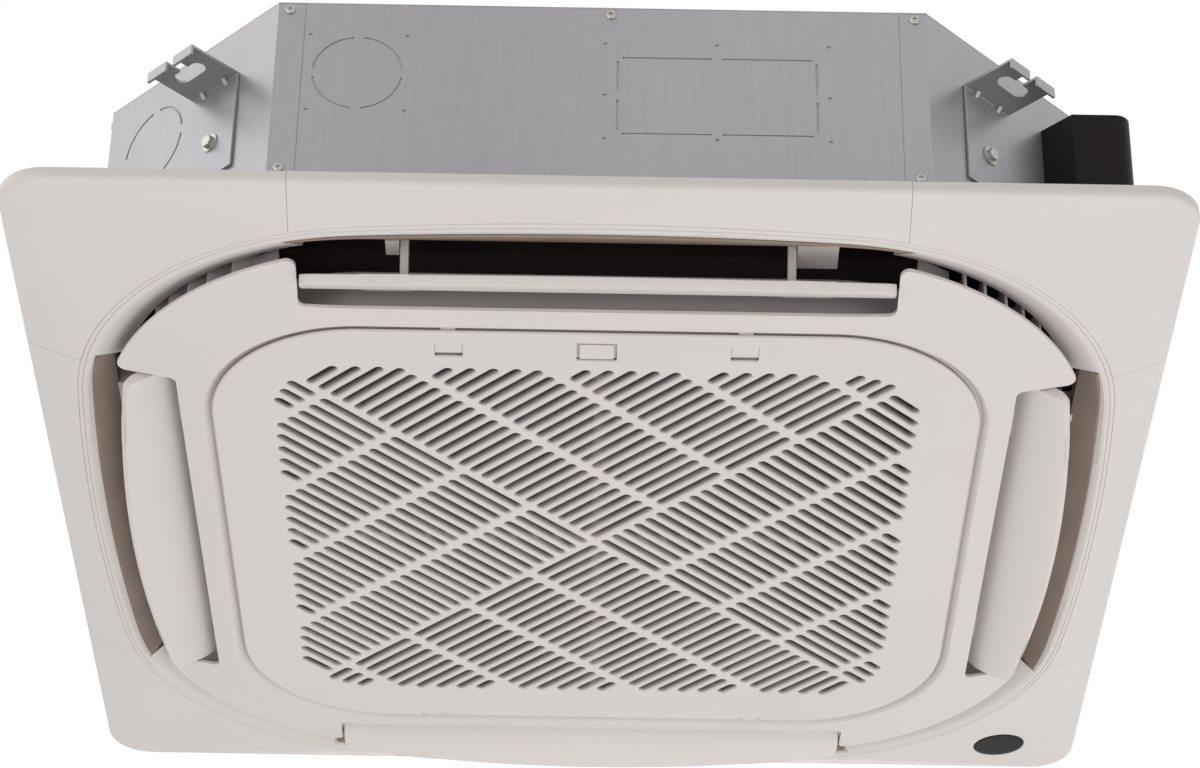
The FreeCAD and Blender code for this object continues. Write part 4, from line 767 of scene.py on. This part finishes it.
def window_box(node):
    """The grille's window round a catch or the cap: the piece's face with room to slide."""
    low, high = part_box(node)
    if node == "grille_screw_cap":
        return low, high
    values = sizes()
    middle = Vector((math.copysign(values.latch_x, low.x), -values.latch_y, 0))
    half = Vector((values.latch_window_x, values.latch_window_y, 0)) / 2
    return middle - half, middle + half


def corner_reach(centre, radius, delta):
    """How far from the middle a round corner lies, seen at an angle from its side's middle."""
    lean = abs(math.sin(delta)) + math.cos(delta)
    return centre * lean + math.sqrt(radius ** 2 - 2 * centre ** 2 + (centre * lean) ** 2)


def square_reach(half, corner, delta):
    """How far from the middle a square with round corners lies."""
    if half * math.tan(abs(delta)) <= half - corner:
        return half / math.cos(delta)
    return corner_reach(half - corner, corner, delta)


class Lip:
    """The edge of the panel's opening: four flat arcs joined tangentially by corner arcs."""

    def __init__(self):
        values = sizes()
        self.half = values.lip_half
        self.side = values.lip_side_radius
        self.drop = self.side - self.half
        reach = self.side - values.lip_diagonal * math.sqrt(2)
        self.centre = (reach ** 2 - self.drop ** 2) / (2 * self.drop - 2 * math.sqrt(2) * reach)
        self.corner = (values.lip_diagonal - self.centre) * math.sqrt(2)

    def join(self, grow):
        """Where a flat arc meets a corner arc, from the side's middle."""
        return (self.side + grow) * self.centre / math.hypot(self.centre, self.centre + self.drop)

    def reach(self, delta, grow=0.0):
        """How far from the middle the outline lies, moved outwards by grow."""
        flat = math.sqrt((self.side + grow) ** 2 - (self.drop * math.sin(delta)) ** 2)
        flat -= self.drop * math.cos(delta)
        if flat * abs(math.sin(delta)) <= self.join(grow):
            return flat
        return corner_reach(self.centre, self.corner + grow, delta)

    def angle_at(self, x):
        """The angle from a side's middle at which the lip lies x beside it."""
        low, high = 0.0, math.radians(45)
        for halving in range(40):
            middle = (low + high) / 2
            if self.reach(middle) * math.sin(middle) < x:
                low = middle
            else:
                high = middle
        return low


def polar(turn, delta, reach, z):
    """A point at an angle from the middle of one of the four sides."""
    local = Vector((reach * math.sin(delta), -reach * math.cos(delta), z))
    return quarter_turn(turn) @ local


def slope_tree(lip):
    """The panel's sloping face, straight from the rim's line to the lip, to find heights on."""
    values = sizes()
    half = values.panel_half - values.rim_inset
    corner = values.panel_corner - values.rim_inset
    flat = half - corner
    join = lip.join(values.lip_land)
    bend = math.asin(join / (lip.side + values.lip_land))
    radius = lip.corner + values.lip_land
    start = math.acos((join - lip.centre) / radius)
    columns = []
    side_steps, corner_steps = 24, 48
    for turn in range(4):
        spin = quarter_turn(turn)
        for step in range(side_steps):
            share = step / side_steps
            rim = Vector((flat * (2 * share - 1), -half, -values.rim_depth))
            angle = bend * (2 * share - 1)
            reach = (lip.side + values.lip_land) * math.cos(angle) - lip.drop
            edge = Vector(((lip.side + values.lip_land) * math.sin(angle), -reach, -values.lip_depth))
            columns.append((spin @ rim, spin @ edge))
        for step in range(corner_steps):
            share = step / corner_steps
            angle = math.radians(-90 + 90 * share)
            rim = corner_point(flat, corner, angle, -values.rim_depth)
            angle = -start + (2 * start - math.radians(90)) * share
            edge = corner_point(lip.centre, radius, angle, -values.lip_depth)
            columns.append((spin @ rim, spin @ edge))
    rows = 12
    points = [rim.lerp(edge, row / rows) for rim, edge in columns for row in range(rows + 1)]
    faces = []
    for index in range(len(columns)):
        here = index * (rows + 1)
        after = (index + 1) % len(columns) * (rows + 1)
        faces += [(here + row, after + row, after + row + 1, here + row + 1) for row in range(rows)]
    return BVHTree.FromPolygons(points, faces)


# Distance from the lip and depth of the two fine beads beside it, in millimetres.
BEADS = ((9.0, 0.9), (8.7, 0.15), (8.1, -0.2), (6.2, -0.2), (5.4, 0.15), (5.0, 0.9), (4.6, 0.15),
         (4.0, -0.2), (1.7, -0.2), (0.8, 0.1))
RIM_ROWS = 6
SLOPE_ROWS = 14
FLARE_ROWS = 7


class PanelColumns:
    """Points of the panel, column by column round the unit, from the rim over the lip to the back."""

    def __init__(self):
        self.lip = Lip()
        self.tree = slope_tree(self.lip)
        self.open_angle = self.lip.angle_at(sizes().outlet_half)

    def places(self, steps_corner=20):
        """Turn, angle and whether the column runs through an outlet, all round the panel."""
        reach = self.open_angle
        steps_mouth = sizes().mouth_steps
        edge = math.radians(45)
        for turn in range(4):
            for step in range(steps_corner):
                yield turn, -edge + (edge - reach) * step / steps_corner, False
            yield turn, -reach, False
            for step in range(steps_mouth + 1):
                yield turn, reach * (2 * step / steps_mouth - 1), True
            for step in range(steps_corner):
                yield turn, reach + (edge - reach) * step / steps_corner, False

    def height(self, point):
        """The height of the sloping face at a point."""
        below = Vector((point.x, point.y, -1.0))
        place = self.tree.ray_cast(below, UP)[0]
        return place.z if place else -sizes().lip_depth

    def skin(self, turn, delta):
        """The rim and the sloping face, down to the seam beside the lip."""
        values = sizes()
        half, corner = values.panel_half, values.panel_corner
        points = [polar(turn, delta, square_reach(half, corner, delta), 0)]
        for step in range(RIM_ROWS + 1):
            angle = math.radians(90 * step / RIM_ROWS)
            inset = values.rim_inset * (1 - math.cos(angle))
            drop = (values.rim_depth - values.rim_edge) * math.sin(angle)
            points.append(polar(turn, delta, square_reach(half - inset, corner - inset, delta),
                                -values.rim_edge - drop))
        start = square_reach(half - values.rim_inset, corner - values.rim_inset, delta)
        stop = self.lip.reach(delta, values.cover_lip_gap + values.seam_gap)
        for row in range(1, SLOPE_ROWS + 1):
            point = polar(turn, delta, start + (stop - start) * row / SLOPE_ROWS, 0)
            point.z = self.height(point)
            points.append(point)
        return points

    def throat(self, turn, delta, mouth, grow, z):
        """The outlets' straight wall: flat beside a louver, round at the corners."""
        values = sizes()
        if not mouth:
            return polar(turn, delta, self.lip.reach(delta, grow - values.flare_width), z)
        x = self.lip.reach(delta) * math.sin(delta)
        local = Vector((x, -values.outlet_outer - grow, z))
        return quarter_turn(turn) @ local

    def flare(self, turn, delta, mouth):
        """The widening part between the straight wall and the lip, from the lip inwards."""
        values = sizes()
        lip = polar(turn, delta, self.lip.reach(delta), values.lip_rise - values.lip_depth)
        throat = self.throat(turn, delta, mouth, 0, -values.throat_depth)
        return [lip.lerp(throat, row / FLARE_ROWS) for row in range(FLARE_ROWS + 1)]

    def edge(self, turn, delta, mouth):
        """The beads beside the lip, the flare, the straight wall and the panel's back."""
        values = sizes()
        points = []
        for distance, depth in BEADS:
            point = polar(turn, delta, self.lip.reach(delta, distance * MM), 0)
            lean = values.lip_rise * (1 - distance * MM / values.cover_lip_gap)
            point.z = max(self.height(point), -values.lip_depth) + depth * MM + lean
            points.append(point)
        points += self.flare(turn, delta, mouth)
        points.append(self.throat(turn, delta, mouth, 0, values.collar_top))
        points.append(self.throat(turn, delta, mouth, values.collar_wall, values.collar_top))
        points.append(self.throat(turn, delta, mouth, values.collar_wall, -values.collar_floor))
        points.append(polar(turn, delta, self.lip.reach(delta, values.back_grow), -values.back_depth))
        thick = values.rim_wall
        wall = square_reach(values.panel_half - thick, values.panel_corner - thick, delta)
        points.append(polar(turn, delta, wall, -values.rim_edge))
        points.append(polar(turn, delta, wall, 0))
        return points


def strip(bm, columns, closed_round, closed_across):
    """Quads between neighbouring columns of points; each face keeps the number of its row."""
    rows = [[bm.verts.new(point) for point in column] for column in columns]
    layer = bm.faces.layers.int.get("row") or bm.faces.layers.int.new("row")
    count = len(rows[0])
    for index in range(len(rows) if closed_round else len(rows) - 1):
        here, after = rows[index], rows[(index + 1) % len(rows)]
        for row in range(count if closed_across else count - 1):
            below = (row + 1) % count
            face = bm.faces.new((here[row], after[row], after[below], here[below]))
            face[layer] = row
    return rows


def bar(bm, outlines):
    """Quads between neighbouring outlines, with a face at either end."""
    rows = strip(bm, outlines, False, True)
    bm.faces.new(rows[0])
    bm.faces.new(rows[-1][::-1])


def cut_along(bm, axis, place, clear_inside=False):
    """Cut a mesh along an upright plane, and clear what lies on the unit's side of it where asked."""
    normal = Vector((1, 0, 0)) if axis == "x" else Vector((0, 1, 0))
    normal *= math.copysign(1, place)
    origin = Vector((place, 0, 0)) if axis == "x" else Vector((0, place, 0))
    geometry = bm.verts[:] + bm.edges[:] + bm.faces[:]
    bmesh.ops.bisect_plane(bm, geom=geometry, plane_co=origin, plane_no=normal, clear_inner=clear_inside)


# Share of a seam's angle from which a corner cover is built, before it is cut at the seam.
PAST_SEAM = 0.8


class CASSETTE_OT_panel(bpy.types.Operator):
    """The panel's frame with its beaded lip and flared outlets, and its four corner covers"""
    bl_idname = "cassette.panel"
    bl_label = "Panel"

    def execute(self, context):
        values = sizes()
        columns = PanelColumns()
        places = list(columns.places())
        skin_rows = len(columns.skin(0, 0))
        rings = [columns.skin(turn, delta) + columns.edge(turn, delta, mouth)
                 for turn, delta, mouth in places]
        bm = bmesh.new()
        strip(bm, rings, True, True)
        bmesh.ops.remove_doubles(bm, verts=bm.verts, dist=WELD)
        for place in (values.cover_seam, -values.cover_seam):
            cut_along(bm, "x", place)
            cut_along(bm, "y", place)
        layer = bm.faces.layers.int["row"]
        hidden = []
        for face in bm.faces:
            middle = face.calc_center_median()
            if face[layer] < skin_rows - 1 and min(abs(middle.x), abs(middle.y)) > values.cover_seam:
                hidden.append(face)
        bmesh.ops.delete(bm, geom=hidden, context="FACES")
        dress(piece("panel_shell", bm), body_of("panel_frame"), "panel_plastic", "panel_frame")

        for turn, corner in enumerate(CORNERS):
            bm = bmesh.new()
            edge = math.radians(45)
            start = columns.lip.angle_at(values.cover_seam) * PAST_SEAM
            shares = [step / values.cover_steps for step in range(values.cover_steps + 1)]
            near = [(turn, start + (edge - start) * share) for share in shares]
            far = [(turn + 1, -edge + (edge - start) * share) for share in shares[1:]]
            strip(bm, [columns.skin(side, delta) for side, delta in near + far], False, False)
            way = quarter_turn(turn) @ Vector((1, -1, 0))
            seam = values.cover_seam + values.seam_gap
            cut_along(bm, "x", math.copysign(seam, way.x), True)
            cut_along(bm, "y", math.copysign(seam, way.y), True)
            cover = piece("corner_skin_" + corner, bm)
            thick = cover.modifiers.new("thickness", "SOLIDIFY")
            thick.thickness = values.cover_skin
            thick.offset = -1
            dress(cover, body_of("corner_cover_" + corner), "panel_plastic", "corner_cover_" + corner)
        self.lining(columns)
        return {"FINISHED"}

    def lining(self, columns):
        """The felt on the outlets' flared walls."""
        values = sizes()
        bm = bmesh.new()
        for turn in range(4):
            spin = quarter_turn(turn)
            reach = columns.lip.angle_at(values.liner_half)
            inner = values.seam_gap + values.liner_skin
            outlines = []
            for step in range(values.mouth_steps + 1):
                delta = reach * (2 * step / values.mouth_steps - 1)
                wall = columns.flare(turn, delta, True)[1:]
                top = columns.throat(turn, delta, True, 0, -values.liner_top)
                face = [point + spin @ Vector((0, inner, -inner)) for point in wall]
                face.append(top + spin @ Vector((0, inner, 0)))
                back = [point + spin @ Vector((0, values.seam_gap, -values.seam_gap)) for point in wall]
                back.append(top + spin @ Vector((0, values.seam_gap, 0)))
                outlines.append(face + back[::-1])
            bar(bm, outlines)
        liner = piece("outlet_lining", bm)
        dress(liner, body_of("outlet_liners"), "liner_felt", "outlet_liners")


# Where the guide vanes stand round the middle of a corner, and how far they turn inwards, in degrees.
VANE_ANGLES = (33.4, 38.6, 44.7, 50.4, 56.9)
VANE_TWIST = 7.0


class CASSETTE_OT_disc(bpy.types.Operator):
    """The disc inside the panel, its guide vanes and ledge, and the receiver's window"""
    bl_idname = "cassette.disc"
    bl_label = "Inner panel"

    def execute(self, context):
        values = sizes()
        softened("inner_panel", 1.2 * values.edge, 3)
        self.window()
        self.vanes()
        self.ledge()
        return {"FINISHED"}

    def ledge(self):
        """The ledge behind the grille's edge, with room for the hinges."""
        values = sizes()
        low = -values.ledge_low
        top = low + values.ledge_thick
        corner = values.grille_corner
        bm = bmesh.new()
        inner = self.outline(values.ledge_half, corner - (values.grille_half - values.ledge_half))
        outer = self.outline(values.ledge_outer, corner + (values.ledge_outer - values.grille_half))
        runs = [[]]
        for near, far in zip(inner + inner[:1], outer + outer[:1]):
            if near.y > 0 and abs(abs(near.x) - values.hinge_x) < values.hinge_room:
                runs.append([])
                continue
            runs[-1].append([near + UP * low, far + UP * low, far + UP * top, near + UP * top])
        for run in runs:
            if len(run) > 1:
                bar(bm, run)
        ledge = piece("grille_ledge", bm)
        dress(ledge, body_of("inner_panel"), "panel_plastic")

    def vanes(self):
        """Blades that guide the air in the corners, between the disc and the panel's flare."""
        values = sizes()
        middle = Vector((-values.vane_centre, -values.vane_centre, 0))
        bm = bmesh.new()
        for turn in range(4):
            spin = quarter_turn(turn)
            for angle in VANE_ANGLES:
                ends = []
                for reach, turned in ((values.vane_outer, angle), (values.vane_inner, angle + VANE_TWIST)):
                    way = math.radians(turned)
                    ends.append(middle - reach * Vector((math.cos(way), math.sin(way), 0)))
                along = (ends[1] - ends[0]).normalized()
                across = Vector((-along.y, along.x, 0)) * values.vane_skin / 2
                outline = [ends[0] - across, ends[1] - across, ends[1] + across, ends[0] + across]
                low = loop_of(bm, [spin @ (point - UP * values.vane_low) for point in outline])
                high = loop_of(bm, [spin @ (point + UP * values.vane_high) for point in outline])
                bridge(bm, low, high)
                bm.faces.new(low)
                bm.faces.new(high[::-1])
        blades = rounded(piece("guide_vanes", bm), values.edge / 2)
        dress(blades, body_of("inner_panel"), "panel_plastic")

    def window(self):
        """The receiver's window, which follows the panel's sloping face."""
        columns = PanelColumns()
        low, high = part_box("receiver_window")
        centre = (low + high) / 2
        radius = (high.x - low.x) / 2
        edge, thick, steps = sizes().edge, sizes().cover_skin, sizes().window_steps
        bm = bmesh.new()
        rings = []
        for inset, lift in ((0.6 * radius, -0.5 * edge), (0.2 * radius, -0.5 * edge), (edge, -0.5 * edge),
                            (edge / 3, -0.3 * edge), (0, 0.2 * edge), (0, thick)):
            ring = []
            for step in range(steps):
                angle = math.radians(360 * step / steps)
                point = centre + (radius - inset) * Vector((math.cos(angle), math.sin(angle), 0))
                point.z = columns.height(point) + lift
                ring.append(point)
            rings.append(loop_of(bm, ring))
        tube(bm, rings)
        bm.faces.new(rings[0])
        bm.faces.new(rings[-1][::-1])
        dress(piece("receiver_lens", bm), body_of("receiver_window"), "window_dark", "receiver_window")

    def outline(self, half, corner):
        """A square outline with round corners and finely divided sides."""
        points = []
        flat = half - corner
        side_steps, corner_steps = sizes().ledge_steps, sizes().ledge_corner_steps
        for turn in range(4):
            spin = quarter_turn(turn)
            for step in range(side_steps):
                points.append(spin @ Vector((flat * (2 * step / side_steps - 1), -half, 0)))
            for step in range(corner_steps):
                angle = math.radians(-90 + 90 * step / corner_steps)
                points.append(spin @ corner_point(flat, corner, angle, 0))
        return points


# Half the distance between two outlines that make a sharp step.
CREASE = 0.1 * MM


def louver_outline(x):
    """How far out a louver's edge lies, at a place along it."""
    values = sizes()
    half, bow, corner = values.louver_half, values.louver_bow, values.louver_round
    radius = (half ** 2 + bow ** 2) / (2 * bow)
    out = values.louver_outer - radius + math.sqrt(radius ** 2 - x ** 2)
    past = abs(x) - (half - corner)
    return out - (corner - math.sqrt(max(corner ** 2 - past ** 2, 0))) if past > 0 else out


def louver_face(out):
    """The height of a closed louver's lower face: flat outside its fold, leaning up inside it."""
    values = sizes()
    bend = values.louver_bend
    inside = values.louver_fold - out
    if inside <= -bend:
        return -values.face_depth
    if inside < bend:
        inside = (inside + bend) ** 2 / (4 * bend)
    return inside * values.louver_lean - values.face_depth


def louver_section(x):
    """The outline across a closed louver, as pairs of distance from the middle and height."""
    values = sizes()
    skin, soft, step = values.louver_skin, values.edge, values.fold_step
    inner, fold, outer = values.louver_inner, values.louver_fold, louver_outline(x)
    low = -values.face_depth
    brim = low + values.louver_flange
    steps = [inner + soft + (fold - 3 * step - inner) * n / 3 for n in range(4)]
    steps += [fold + n * step for n in range(-2, 4)]
    steps += [fold + 4 * step + (outer - fold - 5.5 * step) * n / 3 for n in range(4)]
    under = [(out, louver_face(out)) for out in steps]
    edge = [(outer - soft, low + soft), (outer, low + 3 * soft), (outer, brim - soft), (outer - soft, brim),
            (outer - skin + soft, brim), (outer - skin, brim - soft)]
    at_end = abs(x) > values.louver_half - skin
    over = []
    for out in [outer - skin - soft / 4] + steps[::-1]:
        height = louver_face(out) + skin
        if at_end:
            height = max(height, min(brim, height + (out - fold) / 2))
        over.append((min(out, outer - skin - soft / 4), height))
    return under + edge + over


class CASSETTE_OT_louvers(bpy.types.Operator):
    """The four louvers with their folded blades and arms, their motors and bearings"""
    bl_idname = "cassette.louvers"
    bl_label = "Louvers"

    def execute(self, context):
        values = sizes()
        half, corner, skin = values.louver_half, values.louver_round, values.louver_skin
        ends = [half - corner * (1 - math.sin(math.radians(a))) for a in (0, 15, 30, 45, 60, 75, 90)]
        wall = [half - skin - CREASE, half - skin + CREASE]
        middle = [(half - corner) * n / 16 for n in range(-15, 16)]
        places = sorted(middle + ends + wall + [-x for x in ends + wall])
        for turn, side in enumerate(SIDES):
            pivot = Matrix.Translation((0, -values.pivot_out, values.pivot_up))
            opened = pivot @ Matrix.Rotation(values.louver_open, 4, "X") @ pivot.inverted()
            spin = quarter_turn(turn).to_4x4()
            bm = bmesh.new()
            bar(bm, [[Vector((x, -out, z)) for out, z in louver_section(x)] for x in places])
            bmesh.ops.transform(bm, matrix=spin @ opened, verts=bm.verts)
            node = "louver_" + side
            dress(piece("louver_blade_" + side, bm), body_of(node), "panel_plastic", node)
            dress(self.arms(side, spin @ opened), body_of(node), "panel_plastic", node)
            softened("louver_motor_" + side, values.edge)
        softened("louver_bearings", values.edge)
        return {"FINISHED"}

    def arms(self, side, place):
        """The arms and pins of a louver, cut from its solid above the blade."""
        values = sizes()
        bm = bmesh.new()
        bm.from_mesh(frame["nodes"]["louver_" + side].data)
        bmesh.ops.remove_doubles(bm, verts=bm.verts, dist=WELD)
        bmesh.ops.transform(bm, matrix=place.inverted(), verts=bm.verts)
        cuts = [(Vector((0, 0, values.louver_skin / 2 - values.face_depth)), UP)]
        for x, way in ((values.arm_to, 1), (-values.arm_to, -1)):
            cuts.append((Vector((x, 0, 0)), Vector((-way, 0, 0))))
        for origin, normal in cuts:
            geometry = bm.verts[:] + bm.edges[:] + bm.faces[:]
            bmesh.ops.bisect_plane(bm, geom=geometry, plane_co=origin, plane_no=normal, clear_inner=True)
        for x in (values.arm_from, -values.arm_from):
            cut_along(bm, "x", x)
        spare = [face for face in bm.faces if abs(face.calc_center_median().x) < values.arm_from]
        bmesh.ops.delete(bm, geom=spare, context="FACES")
        bmesh.ops.transform(bm, matrix=place, verts=bm.verts)
        return rounded(piece("louver_arms_" + side, bm), values.edge)


class CASSETTE_OT_casing(bpy.types.Operator):
    """The galvanised casing and its hangers"""
    bl_idname = "cassette.casing"
    bl_label = "Casing"

    def execute(self, context):
        plates = ["top_plate"] + [side + "_plate" for side in SIDES]
        plates += ["corner_plate_" + corner for corner in CORNERS]
        for node in plates:
            softened(node, sizes().sheet_edge)
        for corner in CORNERS:
            softened("hanger_" + corner, 2 * sizes().sheet_edge)
        softened("pipe_cover", 2 * sizes().edge, 3)
        softened("hanger_bolts", sizes().sheet_edge)
        self.screws()
        return {"FINISHED"}

    def screws(self):
        """Domed screw heads with cross recesses, where the frame has its screws."""
        bm = bmesh.new()
        bm.from_mesh(frame["nodes"]["casing_screws"].data)
        bmesh.ops.remove_doubles(bm, verts=bm.verts, dist=WELD)
        places = []
        left = set(bm.verts)
        while left:
            group, queue = set(), [left.pop()]
            while queue:
                vert = queue.pop()
                group.add(vert)
                near = {edge.other_vert(vert) for edge in vert.link_edges} & left
                left -= near
                queue += near
            low = Vector([min(vert.co[axis] for vert in group) for axis in range(3)])
            high = Vector([max(vert.co[axis] for vert in group) for axis in range(3)])
            places.append((low, high))
        bm.free()
        places.sort(key=lambda box: tuple(box[0]))
        bm = bmesh.new()
        for low, high in places:
            size = high - low
            axis = min(range(3), key=lambda n: size[n])
            centre = (low + high) / 2
            out = Vector((0, 0, 0))
            out[axis] = math.copysign(1, centre[axis])
            seat = centre - out * size[axis] / 2
            turn = out.to_track_quat("Z", "Y").to_matrix().to_4x4()
            self.head(bm, Matrix.Translation(seat) @ turn)
        dress(piece("screw_heads", bm), body_of("casing_screws"), "zinc_fastener", "casing_screws")

    def head(self, bm, place):
        """One screw head on its seat."""
        radius, high, steps = sizes().screw_radius, sizes().screw_high, sizes().ring_steps
        made = bmesh.new()
        loops = []
        for wide, up in ((1.0, 0.0), (1.0, 0.3), (0.94, 0.58), (0.82, 0.8), (0.66, 0.94), (0.5, 1.0)):
            ring = []
            for step in range(steps):
                turn = math.radians(360 * step / steps)
                reach = radius * wide
                ring.append(Vector((reach * math.cos(turn), reach * math.sin(turn), high * up)))
            loops.append(loop_of(made, ring))
        tube(made, loops)
        mouth = self.cross(made, 0.42 * radius, 0.1 * radius, high)
        foot = self.cross(made, 0.34 * radius, 0.07 * radius, 0.45 * high)
        bridge(made, mouth, foot)
        fill(made, loops[-1], [mouth])
        made.faces.new(foot)
        bmesh.ops.transform(made, matrix=place, verts=made.verts)
        mesh = bpy.data.meshes.new("head")
        made.to_mesh(mesh)
        made.free()
        bm.from_mesh(mesh)
        bpy.data.meshes.remove(mesh)

    def cross(self, bm, arm, half, z):
        """The outline of a cross recess."""
        points = []
        for turn in range(4):
            spin = quarter_turn(turn)
            for x, y in ((half, -half), (arm, -half), (arm, half)):
                points.append(spin @ Vector((x, y, z)))
        return loop_of(bm, points)


class CASSETTE_OT_rest(bpy.types.Operator):
    """Finishes of every CAD piece that is shown as it is"""
    bl_idname = "cassette.rest"
    bl_label = "Other pieces"

    def execute(self, context):
        for node, obj in frame["nodes"].items():
            paint(obj, node_slot(node))
        return {"FINISHED"}


def soft_box(name, place, target, wide, power):
    """A square lamp at a place, turned towards a target, in metres and watts."""
    light = bpy.data.lights.new(name, "AREA")
    light.shape = "SQUARE"
    light.size = wide
    light.energy = power
    obj = bpy.data.objects.new(name, light)
    obj.location = place
    obj.rotation_euler = (Vector(target) - Vector(place)).to_track_quat("-Z", "Y").to_euler()
    bpy.context.scene.collection.objects.link(obj)


# The viewpoint fitted to the photograph: place in metres, lens and sensor in millimetres.
CAMERA_PLACE = Vector((0.0035, -2.7830, -1.7427))
CAMERA_YAW = math.radians(-0.01)
CAMERA_PITCH = math.radians(33.83)
CAMERA_ROLL = math.radians(0.97)
CAMERA_LENS = 110.67
CAMERA_SENSOR = 36.0


def make_camera():
    """The photograph's viewpoint: low in front of the unit, looking up at the panel."""
    data = bpy.data.cameras.new("viewpoint")
    data.sensor_fit = "HORIZONTAL"
    data.sensor_width = CAMERA_SENSOR
    data.lens = CAMERA_LENS
    obj = bpy.data.objects.new("viewpoint", data)
    forward = math.cos(CAMERA_PITCH)
    ahead = Vector((math.sin(CAMERA_YAW) * forward, math.cos(CAMERA_YAW) * forward, math.sin(CAMERA_PITCH)))
    level = Vector((math.cos(CAMERA_YAW), -math.sin(CAMERA_YAW), 0))
    upright = level.cross(ahead)
    right = level * math.cos(CAMERA_ROLL) + upright * math.sin(CAMERA_ROLL)
    above = upright * math.cos(CAMERA_ROLL) - level * math.sin(CAMERA_ROLL)
    turn = Matrix((right, above, -ahead)).transposed()
    obj.matrix_world = Matrix.Translation(CAMERA_PLACE) @ turn.to_4x4()
    bpy.context.scene.collection.objects.link(obj)
    bpy.context.scene.camera = obj


AMBIENT = 0.64
AMBIENT_TINT = (1.0, 0.985, 0.98, 1)
FLOOR_HALF = 30
FLOOR_DEPTH = 9


def seen_white(shader, kind):
    """Where a surrounding is looked at or mirrored, and the white that it then shows."""
    path = shader.tree.nodes.new("ShaderNodeLightPath")
    names = ("Is Camera Ray", "Is Glossy Ray", "Is Transmission Ray")
    rays = [Value(shader, path.outputs[name]) for name in names]
    seen = shader.node("ShaderNodeMath", {"operation": "MINIMUM"}, {0: rays[0] + rays[1] + rays[2], 1: 1.0})
    white = shader.node(kind, None, {"Color": (1, 1, 1, 1), "Strength": 1.0})
    return seen, white


class CASSETTE_OT_stage(bpy.types.Operator):
    """Camera, soft boxes, white surroundings and a pale floor far below"""
    bl_idname = "cassette.stage"
    bl_label = "Studio"

    def execute(self, context):
        scene = context.scene
        scene.view_settings.view_transform = "Standard"
        make_camera()
        soft_box("key", (1.1, 0.2, -3.4), (0, 0, 0), 3.0, 54)
        soft_box("left", (-3.2, -0.4, 1.9), (-0.3, -0.3, 0.1), 2.4, 16)
        soft_box("back", (0.5, 3.2, 1.6), (0, 0, 0), 2.2, 25)
        soft_box("low_left", (-2.4, -2.4, -0.9), (-0.34, -0.39, 0.1), 1.8, 24)
        soft_box("low_right", (3.0, -1.0, -1.2), (0.3, 0, 0), 2.0, 14)

        scene.world = bpy.data.worlds.new("surroundings")
        air = Shader("surroundings", scene.world)
        seen, white = seen_white(air, "ShaderNodeBackground")
        dim = air.node("ShaderNodeBackground", None, {"Color": AMBIENT_TINT, "Strength": AMBIENT})
        mixed = air.node("ShaderNodeMixShader", None, {0: seen, 1: dim, 2: white})
        air.node("ShaderNodeOutputWorld", None, {"Surface": mixed})

        bm = bmesh.new()
        bmesh.ops.create_grid(bm, x_segments=1, y_segments=1, size=FLOOR_HALF)
        floor = piece("floor", bm)
        floor.location.z = -FLOOR_DEPTH
        ground = Shader("pale_floor")
        seen, white = seen_white(ground, "ShaderNodeEmission")
        pale = ground.node("ShaderNodeBsdfDiffuse", None, {"Color": (*colours().floor, 1)})
        mixed = ground.node("ShaderNodeMixShader", None, {0: seen, 1: pale, 2: white})
        ground.node("ShaderNodeOutputMaterial", None, {"Surface": mixed})
        floor.data.materials.append(ground.material)
        return {"FINISHED"}


class CASSETTE_PT_pieces(bpy.types.Panel):
    """The unit's pieces, in the order in which they are built"""
    bl_label = "Ceiling cassette"
    bl_idname = "CASSETTE_PT_pieces"
    bl_space_type = "VIEW_3D"
    bl_region_type = "UI"
    bl_category = "Cassette"

    def draw(self, context):
        for operator in OPERATORS:
            self.layout.operator(operator.bl_idname)


OPERATORS = (CASSETTE_OT_stage, CASSETTE_OT_rest, CASSETTE_OT_panel, CASSETTE_OT_disc, CASSETTE_OT_louvers,
             CASSETTE_OT_grille, CASSETTE_OT_casing)
CLASSES = (CassetteColours, CassetteSizes) + OPERATORS + (CASSETTE_PT_pieces,)


def register():
    for item in CLASSES:
        bpy.utils.register_class(item)
    bpy.types.Scene.cassette_colours = PointerProperty(type=CassetteColours)
    bpy.types.Scene.cassette_sizes = PointerProperty(type=CassetteSizes)


def unregister():
    del bpy.types.Scene.cassette_sizes
    del bpy.types.Scene.cassette_colours
    for item in reversed(CLASSES):
        bpy.utils.unregister_class(item)


def main():
    register()
    bpy.ops.cassette.stage()
    bpy.ops.cassette.rest()
    bpy.ops.cassette.panel()
    bpy.ops.cassette.disc()
    bpy.ops.cassette.louvers()
    bpy.ops.cassette.grille()
    bpy.ops.cassette.casing()


if __name__ == "__main__":
    main()
